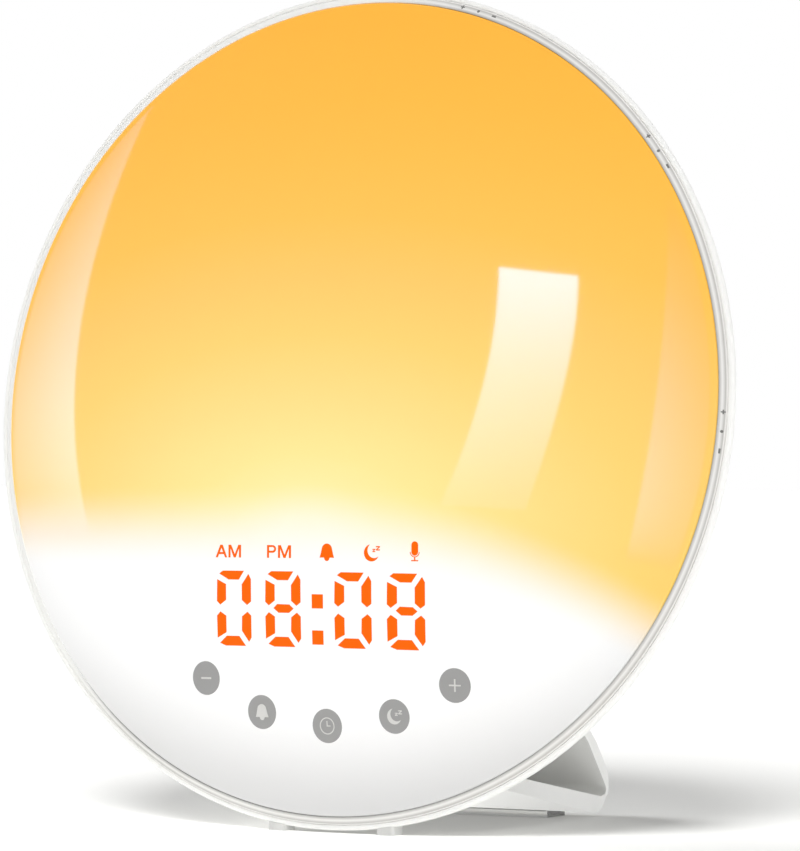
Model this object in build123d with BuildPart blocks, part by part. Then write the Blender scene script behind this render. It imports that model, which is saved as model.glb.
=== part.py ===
from build123d import *
from math import acos, atan2, cos, degrees, hypot, radians, sin, sqrt, tan
import os

# A sunrise alarm clock: a round lamp with a domed front, leaning back on a clip-on stand.
# Millimetres, +Z up, the dome faces -Y, and the origin is under the middle of the clock.
# Pieces of the clock are drawn on planes that lean with it: "depth" is counted backwards from
# the plane of the rim, across the dome's edge, and "r" is the distance from the clock's axis.

# ---- driving dimensions ------------------------------------------------------------------------
lean = 6.0  # backward lean of the clock, degrees
rim_r = 88.0  # outer radius of the white rim
rim_clear = 0.45  # rim above the surface it stands on
fit = 0.1  # gap between fixed pieces that fit together
key_gap = 0.4  # gap round a key in its slot
slip = 0.3  # gap between the clock and a piece that slides on it

# diffuser
dome_rise = 11.0  # height of the dome over its edge
dome_wall = 2.0
dome_edge = 0.7  # rounding of the dome's edge

# rim and rear shell
seat_depth = 3.4  # depth of the ledge that carries diffuser, ring and tray
rim_front = 1.15  # depth of the rim's front edge
rim_wall = 1.05  # thickness of the rim round the clear ring
rim_band = 1.75  # height of the rim's straight outer wall
rim_round = 0.5  # rounding of the rim's front edges
rim_step = 0.6  # how far the bowl starts inside the rim
ledge_thick = 2.0
ledge_width = 4.2  # of the ledge inside the dome's edge
shell_wall = 2.2
body_depth = 38.0
bowl_corner = 27.0  # radius between the bowl's side and its flat back
flat_r = 48.2  # radius of the flat back, inside the rounding

# clear ring
ring_width = 1.55
bevel_drop = 0.8  # fall of its bevel from the dome out to the rim
bevel_start = 0.35  # depth of the bevel's inner edge

# light tray and lamp board
tray_flange = 1.4
tray_gap = 0.8  # between the tray and what holds the key boards
tray_draft = 3.0  # how much narrower the tray's floor is than its mouth
tray_depth = 13.8  # depth of the tray's underside
tray_wall = 1.8
board_thick = 1.6
led_board_inset = 4.0  # of the lamp board inside the tray's floor
led_board_gap = 4.5  # between the lamp board and the display's hood
led_size = 5.0
led_height = 1.4
led_pitch = 18.0
lamp_screw_inset = 5.2
lamp_screw_angles = (8.0, 90.0, 172.0)

# display
digit_height = 15.5
digit_width = 8.7
digit_places = (-20.65, -8.4, 8.4, 20.65)
bar_upright = 2.3  # width of an upright bar
bar_level = 1.85  # width of a level bar
bar_gap = 0.5  # gap between neighbouring bars, along their slanted ends
colon_width = 2.7
colon_height = 2.9
colon_spread = 3.75  # each colon square from the digits' centre
hood_half = 29.5
hood_over = 17.3  # from the digits' centre up to the hood's top
hood_under = 11.2
hood_gap = 0.5  # between the hood's lower corners and the touch board
hood_wall = 1.5
hood_round = 1.0
module_half = 25.6
module_inset = 2.45  # of the display module inside the hood, above and below
module_face = 2.0  # height of the module's face over the rim's plane
display_board_depth = 6.0

# touch keys
touch_gap = 1.2  # between the touch board and the tray
touch_angles = (-27.5, -13.9, 0.0, 13.9, 27.5)  # from straight down, degrees
touch_d = 6.7
touch_print = 0.25
touch_board_depth = 2.0
touch_board_width = 8.0
touch_board_sweep = 68.0
foam_r = 2.8

# parts on the flat back
column_place = (37.0, 24.0)
column_r = 4.0
column_length = 15.9
screw_r = 1.5
screw_head_r = 2.7
screw_head = 2.0
screw_tip_gap = 1.8  # between a housing screw's tip and the tray's floor
screw_cross = 3.4
screw_cross_width = 0.7
counterbore = 6.0
speaker_v = 18.0
speaker_r = 26.0
speaker_flange = 4.0
speaker_screw_r = 28.3  # radius of the ring of the speaker's screws
speaker_head_r = 3.2
gasket_thick = 0.8
speaker_plate = 1.0
basket_back = 13.0  # from the back in to the basket's inner end
basket_r = 15.0
basket_rim = 2.0  # from the flange's edge in to the basket's wall
basket_sheet = 0.8
cone_sheet = 0.5
cone_deep = 4.0
cone_rim = 2.0  # flat roll round the cone
magnet_thick = 7.0
magnet_r = 14.0
grille_rings = (5.0, 10.0, 15.0)
grille_hole_r = 1.2
board_half = 32.4
board_top = -2.5
board_bottom = -34.2
board_back_gap = 14.0  # from the back in to the front of the main board
board_posts = ((-30.3, -4.6), (30.3, -4.6), (-30.3, -32.0), (30.3, -32.0))
chip_places = ((4.0, -22.0), (-9.0, -11.0))
chip_sizes = ((10.0, 10.0), (6.0, 5.0))
chip_height = 1.6
capacitor_places = ((23.0, -11.0), (23.0, -19.0))
capacitor_r = 3.2
capacitor_height = 6.0
connector_places = ((-18.0, -28.0), (10.0, -8.0), (-22.0, -8.0))
connector_size = (9.0, 4.0)
connector_height = 5.0
post_r = 2.0
small_screw_r = 1.0
small_head_r = 1.8
small_head = 1.3
small_bite = 4.0  # how far the small screws reach into a post
pilot_depth = 5.0
jack_place = (22.0, -20.0)
jack_size = 9.0
jack_socket_r = 2.75
jack_barrel_r = 4.0
jack_socket = 9.0
jack_pin_r = 1.0
reset_place = (6.0, -20.0)
reset_r = 2.5
reset_proud = 0.8
reset_flange_r = 3.8
reset_flange = 0.8
reset_stem = 3.2
reset_gap = 1.0  # between the button's stem and the switch's plunger
reset_switch_size = 6.0
reset_switch_height = 4.0
reset_plunger_r = 1.7
cell_place = (-20.0, -17.0)
cell_r = 10.0
cell_thick = 3.2
well_wall = 1.2
door_r = 12.0
door_thick = 1.5
door_turn = 45.0  # turn of the battery door from locked to free, degrees
door_ledge = 1.0
door_ledge_r = 10.7
spigot_r = 10.3
spigot_wall = 1.4
ear_r = 11.7
ear_thick = 0.8
ear_width = 6.0
coin_slot = 16.0
coin_slot_width = 1.8

# side keys
key_angles = {"side_key_top": 72.0, "side_key_middle": 36.0, "side_key_lower": -3.0}
key_length = 24.6
key_width = 5.6
key_depth = 8.7  # depth of the keys' middle
key_wall = 2.0
key_proud = 0.5
key_corner = 0.8
slot_corner = 1.2
nub_width = 2.4
nub_inset = 0.8  # of a key's ribs from its upper and lower sides
lug_overlap = 1.0  # how far a lug runs into the ledge
key_pivot_inset = 4.2  # from the bowl's surface in to a key's pivot
pivot_pin_r = 0.9
pivot_fit = 0.05
pivot_boss_r = 2.0
key_board_gap = 1.5  # between a key board's lower edge and the bowl
key_board_thick = 1.2
switch_place = 8.0
switch_size = 4.0
switch_height = 1.8
plunger_height = 0.8
nub_gap = 0.5

# stand
stand_reach = 65.2  # from the clock's centre back to the rear of the stand
stand_half = 27.0
stand_top_half = 21.0
stand_base_slope = 5.0  # rise of the base plate towards the front, degrees
stand_wall_lean = 39.0  # forward lean of the rear wall, degrees
stand_top_slope = 10.6  # rise of the base plate's upper side towards the front, degrees
stand_wall = 2.8
stand_base = 3.9  # thickness of the base plate at its rear
stand_corner = 6.0
stand_inner = 1.5
stand_bevel_width = 6.0  # bevels along the upper sides of the base plate, at its front end
stand_bevel_start = 0.15  # their width at the rear wall
stand_bevel_height = 4.0
stand_bevel_over = 0.5  # how far the bevels' cut stands out of the plate
stand_foot_thick = 0.8
stand_front = -2.0  # front end of the base plate, from the clock's centre
stand_taper_start = 16.0  # height over the ground from which the rear wall narrows
stand_flange_top = -32.0  # height of the flange's top on the clock's back
hook_place = 14.0
hook_v = -36.5
hook_width = 9.0
hook_thick = 1.8
hook_length = 8.0
tongue_half = 12.0
tongue_thick = 1.6
tongue_end = 6.6  # depth of the tongue's tip
tongue_root = 34.0  # depth at which the tongue leaves the base plate
tongue_rise = 1.4  # of the tongue's middle over the base plate's underside
foot_half = 20.0
foot_front = 50.0
foot_back = 58.0

# clear feet
ring_foot_x = 13.0
ring_foot_width = 4.2
ring_foot_length = 4.6
ring_foot_height = 3.4
ring_foot_round = 0.8

# ---- derived geometry --------------------------------------------------------------------------
lean_sin = sin(radians(lean))
lean_cos = cos(radians(lean))
rim_back = rim_front + rim_band
ring_outer_r = rim_r - rim_wall - fit
ring_inner_r = ring_outer_r - ring_width
dome_r = ring_inner_r - fit
ledge_r = dome_r - ledge_width
ledge_under = seat_depth + ledge_thick
tray_flange_r = dome_r - dome_wall - 2 * fit

# The bowl's side is the line from the rim that touches the rounding of the flat back.
bowl_top_r = rim_r - rim_step
corner_depth = body_depth - bowl_corner
corner_run = bowl_top_r - flat_r
corner_drop = corner_depth - seat_depth
taper = acos(bowl_corner / sqrt(corner_run**2 + corner_drop**2)) - atan2(corner_drop, corner_run)
taper_tan = tan(taper)
taper_cos = cos(taper)
taper_sin = sin(taper)

key_pivot_r = bowl_top_r - taper_tan * (key_depth - seat_depth) - key_pivot_inset
key_board_reach = key_depth - ledge_under
key_board_fall = key_depth + key_board_reach - seat_depth
key_bowl_r = bowl_top_r - taper_tan * key_board_fall - shell_wall / taper_cos
key_board_r = key_bowl_r - key_board_gap - key_board_thick
lug_r = key_board_r - tray_wall
tray_top_r = lug_r - tray_gap
tray_floor_r = tray_top_r - tray_draft
led_board_r = tray_floor_r - led_board_inset

# The display's hood reaches down to the arc of the touch board.
touch_r = tray_top_r - tray_wall - touch_gap - touch_board_width / 2
touch_board_inner_r = touch_r - touch_board_width / 2
hood_bottom = -sqrt((touch_board_inner_r - hood_gap) ** 2 - hood_half**2)
digit_v = hood_bottom + hood_under
hood_top = digit_v + hood_over
module_top = hood_top - module_inset
module_bottom = hood_bottom + module_inset
led_board_cut = hood_top + led_board_gap

column_depth = body_depth - column_length
board_depth = body_depth - board_back_gap
basket_depth = body_depth - basket_back
sphere_r = (dome_r**2 + dome_rise**2) / (2 * dome_rise)

# The clock's middle stands so high that the rim just clears the ground, and the origin lies
# half-way between the front of the dome and the rear of the stand.
centre_z = rim_r * lean_cos + rim_back * lean_sin + rim_clear
dome_reach = sphere_r + (dome_rise - sphere_r) * lean_cos
centre_y = (dome_reach - stand_reach) / 2

front = Vector(0, -lean_cos, lean_sin)
upward = Vector(0, lean_sin, lean_cos)
centre = Vector(0, centre_y, centre_z)
face_plane = Plane(origin=centre, x_dir=(1, 0, 0), z_dir=front)
section_plane = Plane(origin=centre, x_dir=(1, 0, 0), z_dir=upward * -1)
side_plane = Plane(origin=(0, centre_y, 0), x_dir=(0, 1, 0), z_dir=(1, 0, 0))
clock_axis = Axis(centre, front)


def depth_plane(depth):
    """Plane across the clock's axis, so far behind the plane of the rim; sketches face front."""
    return face_plane.offset(-depth)


def polar(radius, angle):
    """Place on the face at a radius and an angle counted from the viewer's right."""
    return (radius * cos(radians(angle)), radius * sin(radians(angle)))


def dome_height(radius, inset=0.0):
    """Height of the dome, or of a surface so far inside it, over the rim's plane."""
    return sqrt((sphere_r - inset) ** 2 - radius**2) - (sphere_r - dome_rise)


def bowl_r(depth):
    """Outer radius of the bowl's sloping side at a depth."""
    return bowl_top_r - taper_tan * (depth - seat_depth)


def section(*points):
    """Half section of a turned piece, from points (r, depth)."""
    with BuildSketch(section_plane) as sketch:
        with BuildLine():
            Polyline(*[(r, -depth) for r, depth in points], close=True)
        make_face()
    return sketch.sketch


def bowl_section(inset, top):
    """Half section of everything inside the bowl's surface, drawn in by inset, below a depth."""
    run = bowl_corner - inset
    meet = (flat_r + run * taper_cos, -corner_depth - run * taper_sin)
    with BuildSketch(section_plane) as sketch:
        with BuildLine():
            Polyline((0, -top), (bowl_r(top) - inset / taper_cos, -top), meet)
            CenterArc((flat_r, -corner_depth), run, -degrees(taper), degrees(taper) - 90)
            Polyline((flat_r, inset - body_depth), (0, inset - body_depth), (0, -top))
        make_face()
    return sketch.sketch


def dome_section(inset, bottom, rounding=0.0):
    """Half section of everything under the dome, drawn in by inset, down to a depth."""
    edge = dome_r - inset
    with BuildSketch(section_plane) as sketch:
        with BuildLine():
            ThreePointArc(
                (0, dome_rise - inset),
                (edge / 2, dome_height(edge / 2, inset)),
                (edge, dome_height(edge, inset)),
            )
            Polyline((edge, dome_height(edge, inset)), (edge, -bottom), (0, -bottom), (0, dome_rise - inset))
        make_face()
        if rounding:
            corner = sketch.vertices().group_by(Axis.X)[-1].sort_by(Axis.Y)[-1]
            fillet(corner, rounding)
    return sketch.sketch


def key_plane(angle, radius):
    """Plane facing outwards at an angle of the face; x runs round the clock, y to the front."""
    outward = Vector(1, 0, 0) * cos(radians(angle)) + upward * sin(radians(angle))
    around = Vector(1, 0, 0) * -sin(radians(angle)) + upward * cos(radians(angle))
    return Plane(origin=centre - front * key_depth + outward * radius, x_dir=around, z_dir=outward)


def side_point(depth, v):
    """Place in the side view (y from the clock's centre, z) of a point behind the face."""
    return (depth * lean_cos + v * lean_sin, centre_z + v * lean_cos - depth * lean_sin)


def meet(start, along, other, other_along):
    """Where two lines of the side view cross, each given by a point and a direction."""
    cross = along[0] * other_along[1] - along[1] * other_along[0]
    run = ((other[0] - start[0]) * other_along[1] - (other[1] - start[1]) * other_along[0]) / cross
    return (start[0] + run * along[0], start[1] + run * along[1])


def finish(part, name):
    """Label a piece and write its STEP file."""
    part.label = name
    export_step(part, f"parts/{name}.step")


os.makedirs("parts", exist_ok=True)

# ---- solids that other pieces are cut to -------------------------------------------------------
with BuildPart() as dome_solid:
    revolve(dome_section(0.0, tray_depth), axis=clock_axis)

with BuildPart() as under_dome:
    revolve(dome_section(dome_wall, tray_depth), axis=clock_axis)

with BuildPart() as under_print:
    revolve(dome_section(touch_print, tray_depth), axis=clock_axis)

with BuildPart() as hood_limit:
    revolve(dome_section(dome_wall + slip, tray_depth), axis=clock_axis)

with BuildSketch(section_plane) as rim_section:
    with BuildLine():
        Polyline(
            (rim_r - rim_wall, -seat_depth),
            (rim_r - rim_wall, -rim_front),
            (rim_r, -rim_front),
            (rim_r, -rim_back),
            (bowl_top_r, -seat_depth),
            close=True,
        )
    make_face()
    fillet(rim_section.vertices().group_by(Axis.Y)[-1], rim_round)

with BuildPart() as bowl_solid:
    revolve(bowl_section(0.0, seat_depth), axis=clock_axis)
    revolve(rim_section.sketch, axis=clock_axis)

with BuildPart() as bowl_filled:
    revolve(bowl_section(0.0, seat_depth), axis=clock_axis)
    revolve(
        section(
            (0, rim_front),
            (rim_r, rim_front),
            (rim_r, rim_back),
            (bowl_top_r, seat_depth),
            (0, seat_depth),
        ),
        axis=clock_axis,
    )

with BuildPart() as bowl_margin:
    revolve(bowl_section(-slip, seat_depth), axis=clock_axis)

# ---- display segments and touch keys, as prisms through the dome -------------------------------
half_w = digit_width / 2
half_h = digit_height / 2
inner_w = half_w - bar_upright
inner_h = half_h - bar_level
level_bar = (
    (-half_w + bar_gap, half_h - bar_gap),
    (-half_w + 2 * bar_gap, half_h),
    (half_w - 2 * bar_gap, half_h),
    (half_w - bar_gap, half_h - bar_gap),
    (inner_w - bar_gap, inner_h),
    (-inner_w + bar_gap, inner_h),
)
middle_bar = (
    (-inner_w - bar_gap, 0),
    (-inner_w + bar_gap, bar_level / 2),
    (inner_w - bar_gap, bar_level / 2),
    (inner_w + bar_gap, 0),
    (inner_w - bar_gap, -bar_level / 2),
    (-inner_w + bar_gap, -bar_level / 2),
)
upright_bar = (
    (half_w - bar_gap, half_h - 2 * bar_gap),
    (half_w, half_h - 3 * bar_gap),
    (half_w, 3 * bar_gap),
    (half_w - 2 * bar_gap, bar_gap),
    (inner_w, 3 * bar_gap),
    (inner_w, inner_h - 2 * bar_gap),
)


def mirrored(bar, flip_x, flip_y):
    """A bar of the digit turned to another of its places."""
    return [(x * flip_x, y * flip_y) for x, y in bar]


ring_bars = [mirrored(level_bar, 1, 1), mirrored(level_bar, 1, -1)]
ring_bars += [mirrored(upright_bar, x, y) for x in (-1, 1) for y in (-1, 1)]

with BuildSketch(depth_plane(-module_face)) as lit_bars:
    for place in digit_places:
        for bar in ring_bars:
            with Locations((place, digit_v)):
                Polygon(*bar, align=None)
    for place in digit_places[1::2]:
        with Locations((place, digit_v)):
            Polygon(*middle_bar, align=None)
    with Locations((0, digit_v + colon_spread), (0, digit_v - colon_spread)):
        Rectangle(colon_width, colon_height)

with BuildSketch(depth_plane(-module_face)) as dark_bars:
    for place in digit_places[0::2]:
        with Locations((place, digit_v)):
            Polygon(*middle_bar, align=None)

touch_places = [polar(touch_r, angle - 90) for angle in touch_angles]
with BuildSketch(depth_plane(-module_face)) as touch_discs:
    with Locations(*touch_places):
        Circle(touch_d / 2)

with BuildPart() as display_digits:
    extrude(lit_bars.sketch, amount=dome_rise)
    add(dome_solid.part, mode=Mode.INTERSECT)
finish(display_digits.part, "display_digits")

with BuildPart() as blank_segments:
    extrude(dark_bars.sketch, amount=dome_rise)
    add(dome_solid.part, mode=Mode.INTERSECT)
finish(blank_segments.part, "blank_segments")

with BuildPart() as touch_keys:
    extrude(touch_discs.sketch, amount=dome_rise)
    add(dome_solid.part, mode=Mode.INTERSECT)
    add(under_print.part, mode=Mode.SUBTRACT)
finish(touch_keys.part, "touch_keys")

# ---- front: diffuser, clear ring, light tray ---------------------------------------------------
with BuildPart() as front_diffuser:
    revolve(dome_section(0.0, seat_depth, dome_edge), axis=clock_axis)
    revolve(dome_section(dome_wall, seat_depth), axis=clock_axis, mode=Mode.SUBTRACT)
    extrude(lit_bars.sketch, amount=dome_rise, mode=Mode.SUBTRACT)
    extrude(dark_bars.sketch, amount=dome_rise, mode=Mode.SUBTRACT)
    add(touch_keys.part, mode=Mode.SUBTRACT)
finish(front_diffuser.part, "front_diffuser")

with BuildPart() as clear_ring:
    revolve(
        section(
            (ring_inner_r, bevel_start),
            (ring_outer_r, bevel_start + bevel_drop),
            (ring_outer_r, seat_depth),
            (ring_inner_r, seat_depth),
        ),
        axis=clock_axis,
    )
finish(clear_ring.part, "clear_ring")

tray_floor = tray_depth - tray_wall
lamp_screw_places = [polar(led_board_r - lamp_screw_inset, angle) for angle in lamp_screw_angles]
hood_middle = (0, (hood_top + hood_bottom) / 2)
display_post_x = module_half - post_r
display_post_v = (module_top - module_bottom) / 2 - post_r
touch_post_angle = (touch_angles[-1] + touch_angles[-2]) / 2
touch_post_places = [polar(touch_r, angle - 90) for angle in (-touch_post_angle, touch_post_angle)]
with BuildPart() as light_tray:
    revolve(
        section(
            (tray_top_r - tray_wall, seat_depth - tray_flange),
            (tray_flange_r, seat_depth - tray_flange),
            (tray_flange_r, seat_depth),
            (tray_top_r, seat_depth),
            (tray_floor_r, tray_depth),
            (0, tray_depth),
            (0, tray_floor),
            (tray_floor_r - tray_wall, tray_floor),
        ),
        axis=clock_axis,
    )
    with BuildSketch(depth_plane(tray_floor)):
        with Locations(hood_middle):
            with GridLocations(2 * display_post_x, 2 * display_post_v, 2, 2):
                Circle(post_r)
    extrude(amount=tray_floor - display_board_depth - board_thick)
    with BuildSketch(depth_plane(tray_floor)):
        with Locations(*touch_post_places):
            Circle(post_r)
    extrude(amount=tray_floor - touch_board_depth - board_thick)
    with BuildSketch(depth_plane(touch_board_depth + board_thick)):
        with Locations(*touch_post_places):
            Circle(small_screw_r + fit / 2)
    extrude(amount=-pilot_depth, mode=Mode.SUBTRACT)
    with BuildSketch(depth_plane(tray_depth)):
        with GridLocations(2 * column_place[0], 2 * column_place[1], 2, 2):
            Circle(column_r)
    extrude(amount=tray_depth - column_depth + fit)
    with BuildSketch(depth_plane(tray_depth)):
        with GridLocations(2 * column_place[0], 2 * column_place[1], 2, 2):
            Circle(screw_r + fit / 2)
    extrude(amount=tray_depth - column_depth, mode=Mode.SUBTRACT)
    with BuildSketch(depth_plane(tray_floor)):
        with Locations(*lamp_screw_places):
            Circle(small_screw_r + fit / 2)
    extrude(amount=-tray_wall, mode=Mode.SUBTRACT)
finish(light_tray.part, "light_tray")

with BuildPart() as led_board:
    with BuildSketch(depth_plane(tray_floor)):
        Circle(led_board_r)
        with Locations((0, led_board_cut)):
            Rectangle(2 * led_board_r, led_board_r, align=(Align.CENTER, Align.MAX), mode=Mode.SUBTRACT)
        with Locations(*lamp_screw_places):
            Circle(small_screw_r + fit, mode=Mode.SUBTRACT)
    extrude(amount=board_thick)
finish(led_board.part, "led_board")

with BuildPart() as lamp_screws:
    with BuildSketch(depth_plane(tray_floor - board_thick)):
        with Locations(*lamp_screw_places):
            Circle(small_head_r)
    extrude(amount=small_head)
    with BuildSketch(depth_plane(tray_floor - board_thick)):
        with Locations(*lamp_screw_places):
            Circle(small_screw_r)
    extrude(amount=-board_thick - tray_wall)
finish(lamp_screws.part, "lamp_screws")

led_grid = [(column * led_pitch, row * led_pitch) for column in range(-3, 4) for row in range(-1, 4)]


def led_fits(place):
    """True where a lamp stands whole on the board, and clear of the board's screws."""
    clear = all(hypot(place[0] - x, place[1] - y) > led_size + small_head_r for x, y in lamp_screw_places)
    return clear and hypot(*place) < led_board_r - led_size and place[1] > led_board_cut + led_size / 2


with BuildPart() as sunrise_leds:
    with BuildSketch(depth_plane(tray_floor - board_thick)):
        with Locations(*filter(led_fits, led_grid)):
            Rectangle(led_size, led_size)
    extrude(amount=led_height)
finish(sunrise_leds.part, "sunrise_leds")

# ---- display behind the diffuser ---------------------------------------------------------------
with BuildPart() as display_hood:
    with BuildSketch(depth_plane(tray_floor)):
        with Locations(hood_middle):
            RectangleRounded(2 * hood_half, hood_top - hood_bottom, hood_round + hood_wall)
            RectangleRounded(
                2 * (hood_half - hood_wall),
                hood_top - hood_bottom - 2 * hood_wall,
                hood_round,
                mode=Mode.SUBTRACT,
            )
    extrude(amount=tray_floor + dome_rise)
    add(hood_limit.part, mode=Mode.INTERSECT)
finish(display_hood.part, "display_hood")

with BuildPart() as display_board:
    with BuildSketch(depth_plane(display_board_depth + board_thick)):
        with Locations(hood_middle):
            RectangleRounded(
                2 * (hood_half - hood_wall - fit), hood_top - hood_bottom - 2 * (hood_wall + fit), hood_round
            )
    extrude(amount=board_thick)
finish(display_board.part, "display_board")

with BuildPart() as display_module:
    with BuildSketch(depth_plane(display_board_depth)):
        with Locations((0, (module_top + module_bottom) / 2)):
            Rectangle(2 * module_half, module_top - module_bottom)
    extrude(amount=display_board_depth + module_face)
finish(display_module.part, "display_module")

# ---- touch board -------------------------------------------------------------------------------
with BuildPart() as touch_board:
    with BuildSketch(depth_plane(touch_board_depth + board_thick)):
        with BuildLine():
            CenterArc((0, 0), touch_r, -90 - touch_board_sweep / 2, touch_board_sweep)
        trace(line_width=touch_board_width)
        with Locations(*touch_post_places):
            Circle(small_screw_r + fit, mode=Mode.SUBTRACT)
    extrude(amount=board_thick)
finish(touch_board.part, "touch_board")

with BuildPart() as touch_foam:
    with BuildSketch(depth_plane(touch_board_depth)):
        with Locations(*touch_places):
            Circle(foam_r)
    extrude(amount=dome_rise)
    add(under_dome.part, mode=Mode.INTERSECT)
finish(touch_foam.part, "touch_foam")

with BuildPart() as touch_screws:
    with BuildSketch(depth_plane(touch_board_depth)):
        with Locations(*touch_post_places):
            Circle(small_head_r)
    extrude(amount=small_head)
    with BuildSketch(depth_plane(touch_board_depth)):
        with Locations(*touch_post_places):
            Circle(small_screw_r)
    extrude(amount=-board_thick - small_bite)
finish(touch_screws.part, "touch_screws")

# ---- rear shell --------------------------------------------------------------------------------
back_inside = body_depth - shell_wall
door_seat = body_depth - door_thick - fit
ear_groove = door_seat - door_ledge
cell_top = ear_groove - ear_thick - 2 * fit - slip
well_floor = cell_top - cell_thick
well_r = door_r + fit
cell_pocket_r = cell_r + fit
speaker_place = (0.0, speaker_v)
speaker_screw_places = []
for angle in (30, 150, 270):
    screw_u, screw_v = polar(speaker_screw_r, angle)
    speaker_screw_places.append((screw_u, speaker_v + screw_v))
speaker_seat = back_inside - gasket_thick
boss_depth = speaker_seat - speaker_plate
board_back = board_depth + board_thick
lug_reach = ledge_r - lug_r + lug_overlap
rib_pitch = key_length - 2 * tray_wall

# The base plate's underside, over which the stand's tongue enters the bowl.
corner_y = stand_reach - stand_corner
corner_z = stand_foot_thick + stand_corner
base_along = (-cos(radians(stand_base_slope)), sin(radians(stand_base_slope)))
base_up = (sin(radians(stand_base_slope)), cos(radians(stand_base_slope)))
base_start = (corner_y - stand_corner * base_up[0], corner_z - stand_corner * base_up[1])


def base_height(y):
    """Height of the base plate's underside at a distance behind the clock's centre."""
    return base_start[1] + (base_start[0] - y) * tan(radians(stand_base_slope))


tongue_y = side_point(tongue_root, -rim_r)[0]
tongue_z = base_height(tongue_y) + tongue_rise
tongue_v = tongue_y * lean_sin + (tongue_z - centre_z) * lean_cos

with BuildPart() as hollow:
    revolve(bowl_section(shell_wall, ledge_under), axis=clock_axis)
    with BuildSketch(depth_plane(body_depth)):
        with GridLocations(2 * column_place[0], 2 * column_place[1], 2, 2):
            Circle(column_r)
    extrude(amount=body_depth - column_depth, mode=Mode.SUBTRACT)
    with BuildSketch(depth_plane(body_depth)):
        with Locations(*board_posts):
            Circle(post_r)
    extrude(amount=body_depth - board_back, mode=Mode.SUBTRACT)
    with BuildSketch(depth_plane(body_depth)):
        with Locations(*speaker_screw_places):
            Circle(post_r)
    extrude(amount=body_depth - boss_depth, mode=Mode.SUBTRACT)
    with BuildSketch(depth_plane(body_depth)):
        with Locations(cell_place):
            Circle(well_r + well_wall)
    extrude(amount=body_depth - well_floor + well_wall, mode=Mode.SUBTRACT)
    with BuildSketch(depth_plane(ledge_under)):
        Circle(ledge_r)
    extrude(amount=ledge_thick)

with BuildPart() as rear_shell:
    add(bowl_solid.part)
    add(hollow.part, mode=Mode.SUBTRACT)
    # key slots, and behind each key a lug with its pivot pin and two ribs for its board
    for angle in key_angles.values():
        with BuildSketch(key_plane(angle, key_pivot_r - pivot_boss_r)):
            RectangleRounded(key_length + 2 * key_gap, key_width + 2 * key_gap, slot_corner)
        extrude(amount=rim_r, mode=Mode.SUBTRACT)
        with BuildSketch(key_plane(angle, lug_r)):
            with Locations((0, key_depth - seat_depth - ledge_thick / 2)):
                Rectangle(key_length + 2 * slot_corner, ledge_thick)
        extrude(amount=lug_reach)
        with BuildSketch(key_plane(angle, lug_r)):
            with GridLocations(rib_pitch, 0, 2, 1):
                Rectangle(tray_wall, 2 * key_board_reach)
        extrude(amount=tray_wall)
        with BuildSketch(depth_plane(ledge_under)):
            with Locations(polar(key_pivot_r, angle)):
                Circle(pivot_pin_r)
        extrude(amount=-2 * key_board_reach)
    # slots for the stand's two hooks, and for its tongue
    with BuildSketch(depth_plane(body_depth)):
        with GridLocations(2 * hook_place, 0, 2, 1):
            with Locations((0, hook_v)):
                Rectangle(hook_width + 2 * slip, hook_thick + 2 * slip)
    extrude(amount=shell_wall, mode=Mode.SUBTRACT)
    with BuildSketch(depth_plane(ledge_under + fit)):
        with Locations((0, tongue_v)):
            Rectangle(2 * (tongue_half + slip), tongue_thick + 2 * slip)
    extrude(amount=-tongue_root, mode=Mode.SUBTRACT)
    # speaker grille
    with BuildSketch(depth_plane(body_depth)):
        with Locations(speaker_place):
            Circle(grille_hole_r)
            for ring, radius in enumerate(grille_rings):
                with PolarLocations(radius, 6 * (ring + 1)):
                    Circle(grille_hole_r)
    extrude(amount=shell_wall, mode=Mode.SUBTRACT)
    with BuildSketch(depth_plane(boss_depth)):
        with Locations(*speaker_screw_places):
            Circle(small_screw_r + fit / 2)
    extrude(amount=-speaker_plate - gasket_thick - shell_wall / 2, mode=Mode.SUBTRACT)
    # battery well: recess of the door, its ledge with two notches, groove of its ears, pocket of the cell
    with BuildSketch(depth_plane(body_depth)):
        with Locations(cell_place):
            Circle(well_r)
    extrude(amount=body_depth - door_seat, mode=Mode.SUBTRACT)
    with BuildSketch(depth_plane(door_seat)):
        with Locations(cell_place):
            Circle(door_ledge_r)
            with PolarLocations(0, 2, start_angle=90 - door_turn):
                Rectangle(2 * (ear_r + fit), ear_width + 2 * key_gap)
    extrude(amount=door_ledge, mode=Mode.SUBTRACT)
    with BuildSketch(depth_plane(ear_groove)):
        with Locations(cell_place):
            Circle(well_r)
    extrude(amount=ear_groove - cell_top, mode=Mode.SUBTRACT)
    with BuildSketch(depth_plane(cell_top)):
        with Locations(cell_place):
            Circle(cell_pocket_r)
    extrude(amount=cell_thick, mode=Mode.SUBTRACT)
    # openings of the power socket and the reset button
    with BuildSketch(depth_plane(body_depth)):
        with Locations(jack_place):
            Circle(jack_barrel_r + fit)
        with Locations(reset_place):
            Circle(reset_r + slip)
    extrude(amount=shell_wall, mode=Mode.SUBTRACT)
    # screws: deep counterbores in the columns, and pilot holes in the board's posts
    with BuildSketch(depth_plane(body_depth)):
        with GridLocations(2 * column_place[0], 2 * column_place[1], 2, 2):
            Circle(screw_head_r + slip)
    extrude(amount=counterbore, mode=Mode.SUBTRACT)
    with BuildSketch(depth_plane(body_depth)):
        with GridLocations(2 * column_place[0], 2 * column_place[1], 2, 2):
            Circle(screw_r + fit)
    extrude(amount=body_depth, mode=Mode.SUBTRACT)
    with BuildSketch(depth_plane(board_back)):
        with Locations(*board_posts):
            Circle(small_screw_r + fit / 2)
    extrude(amount=-pilot_depth, mode=Mode.SUBTRACT)
finish(rear_shell.part, "rear_shell")

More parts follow.
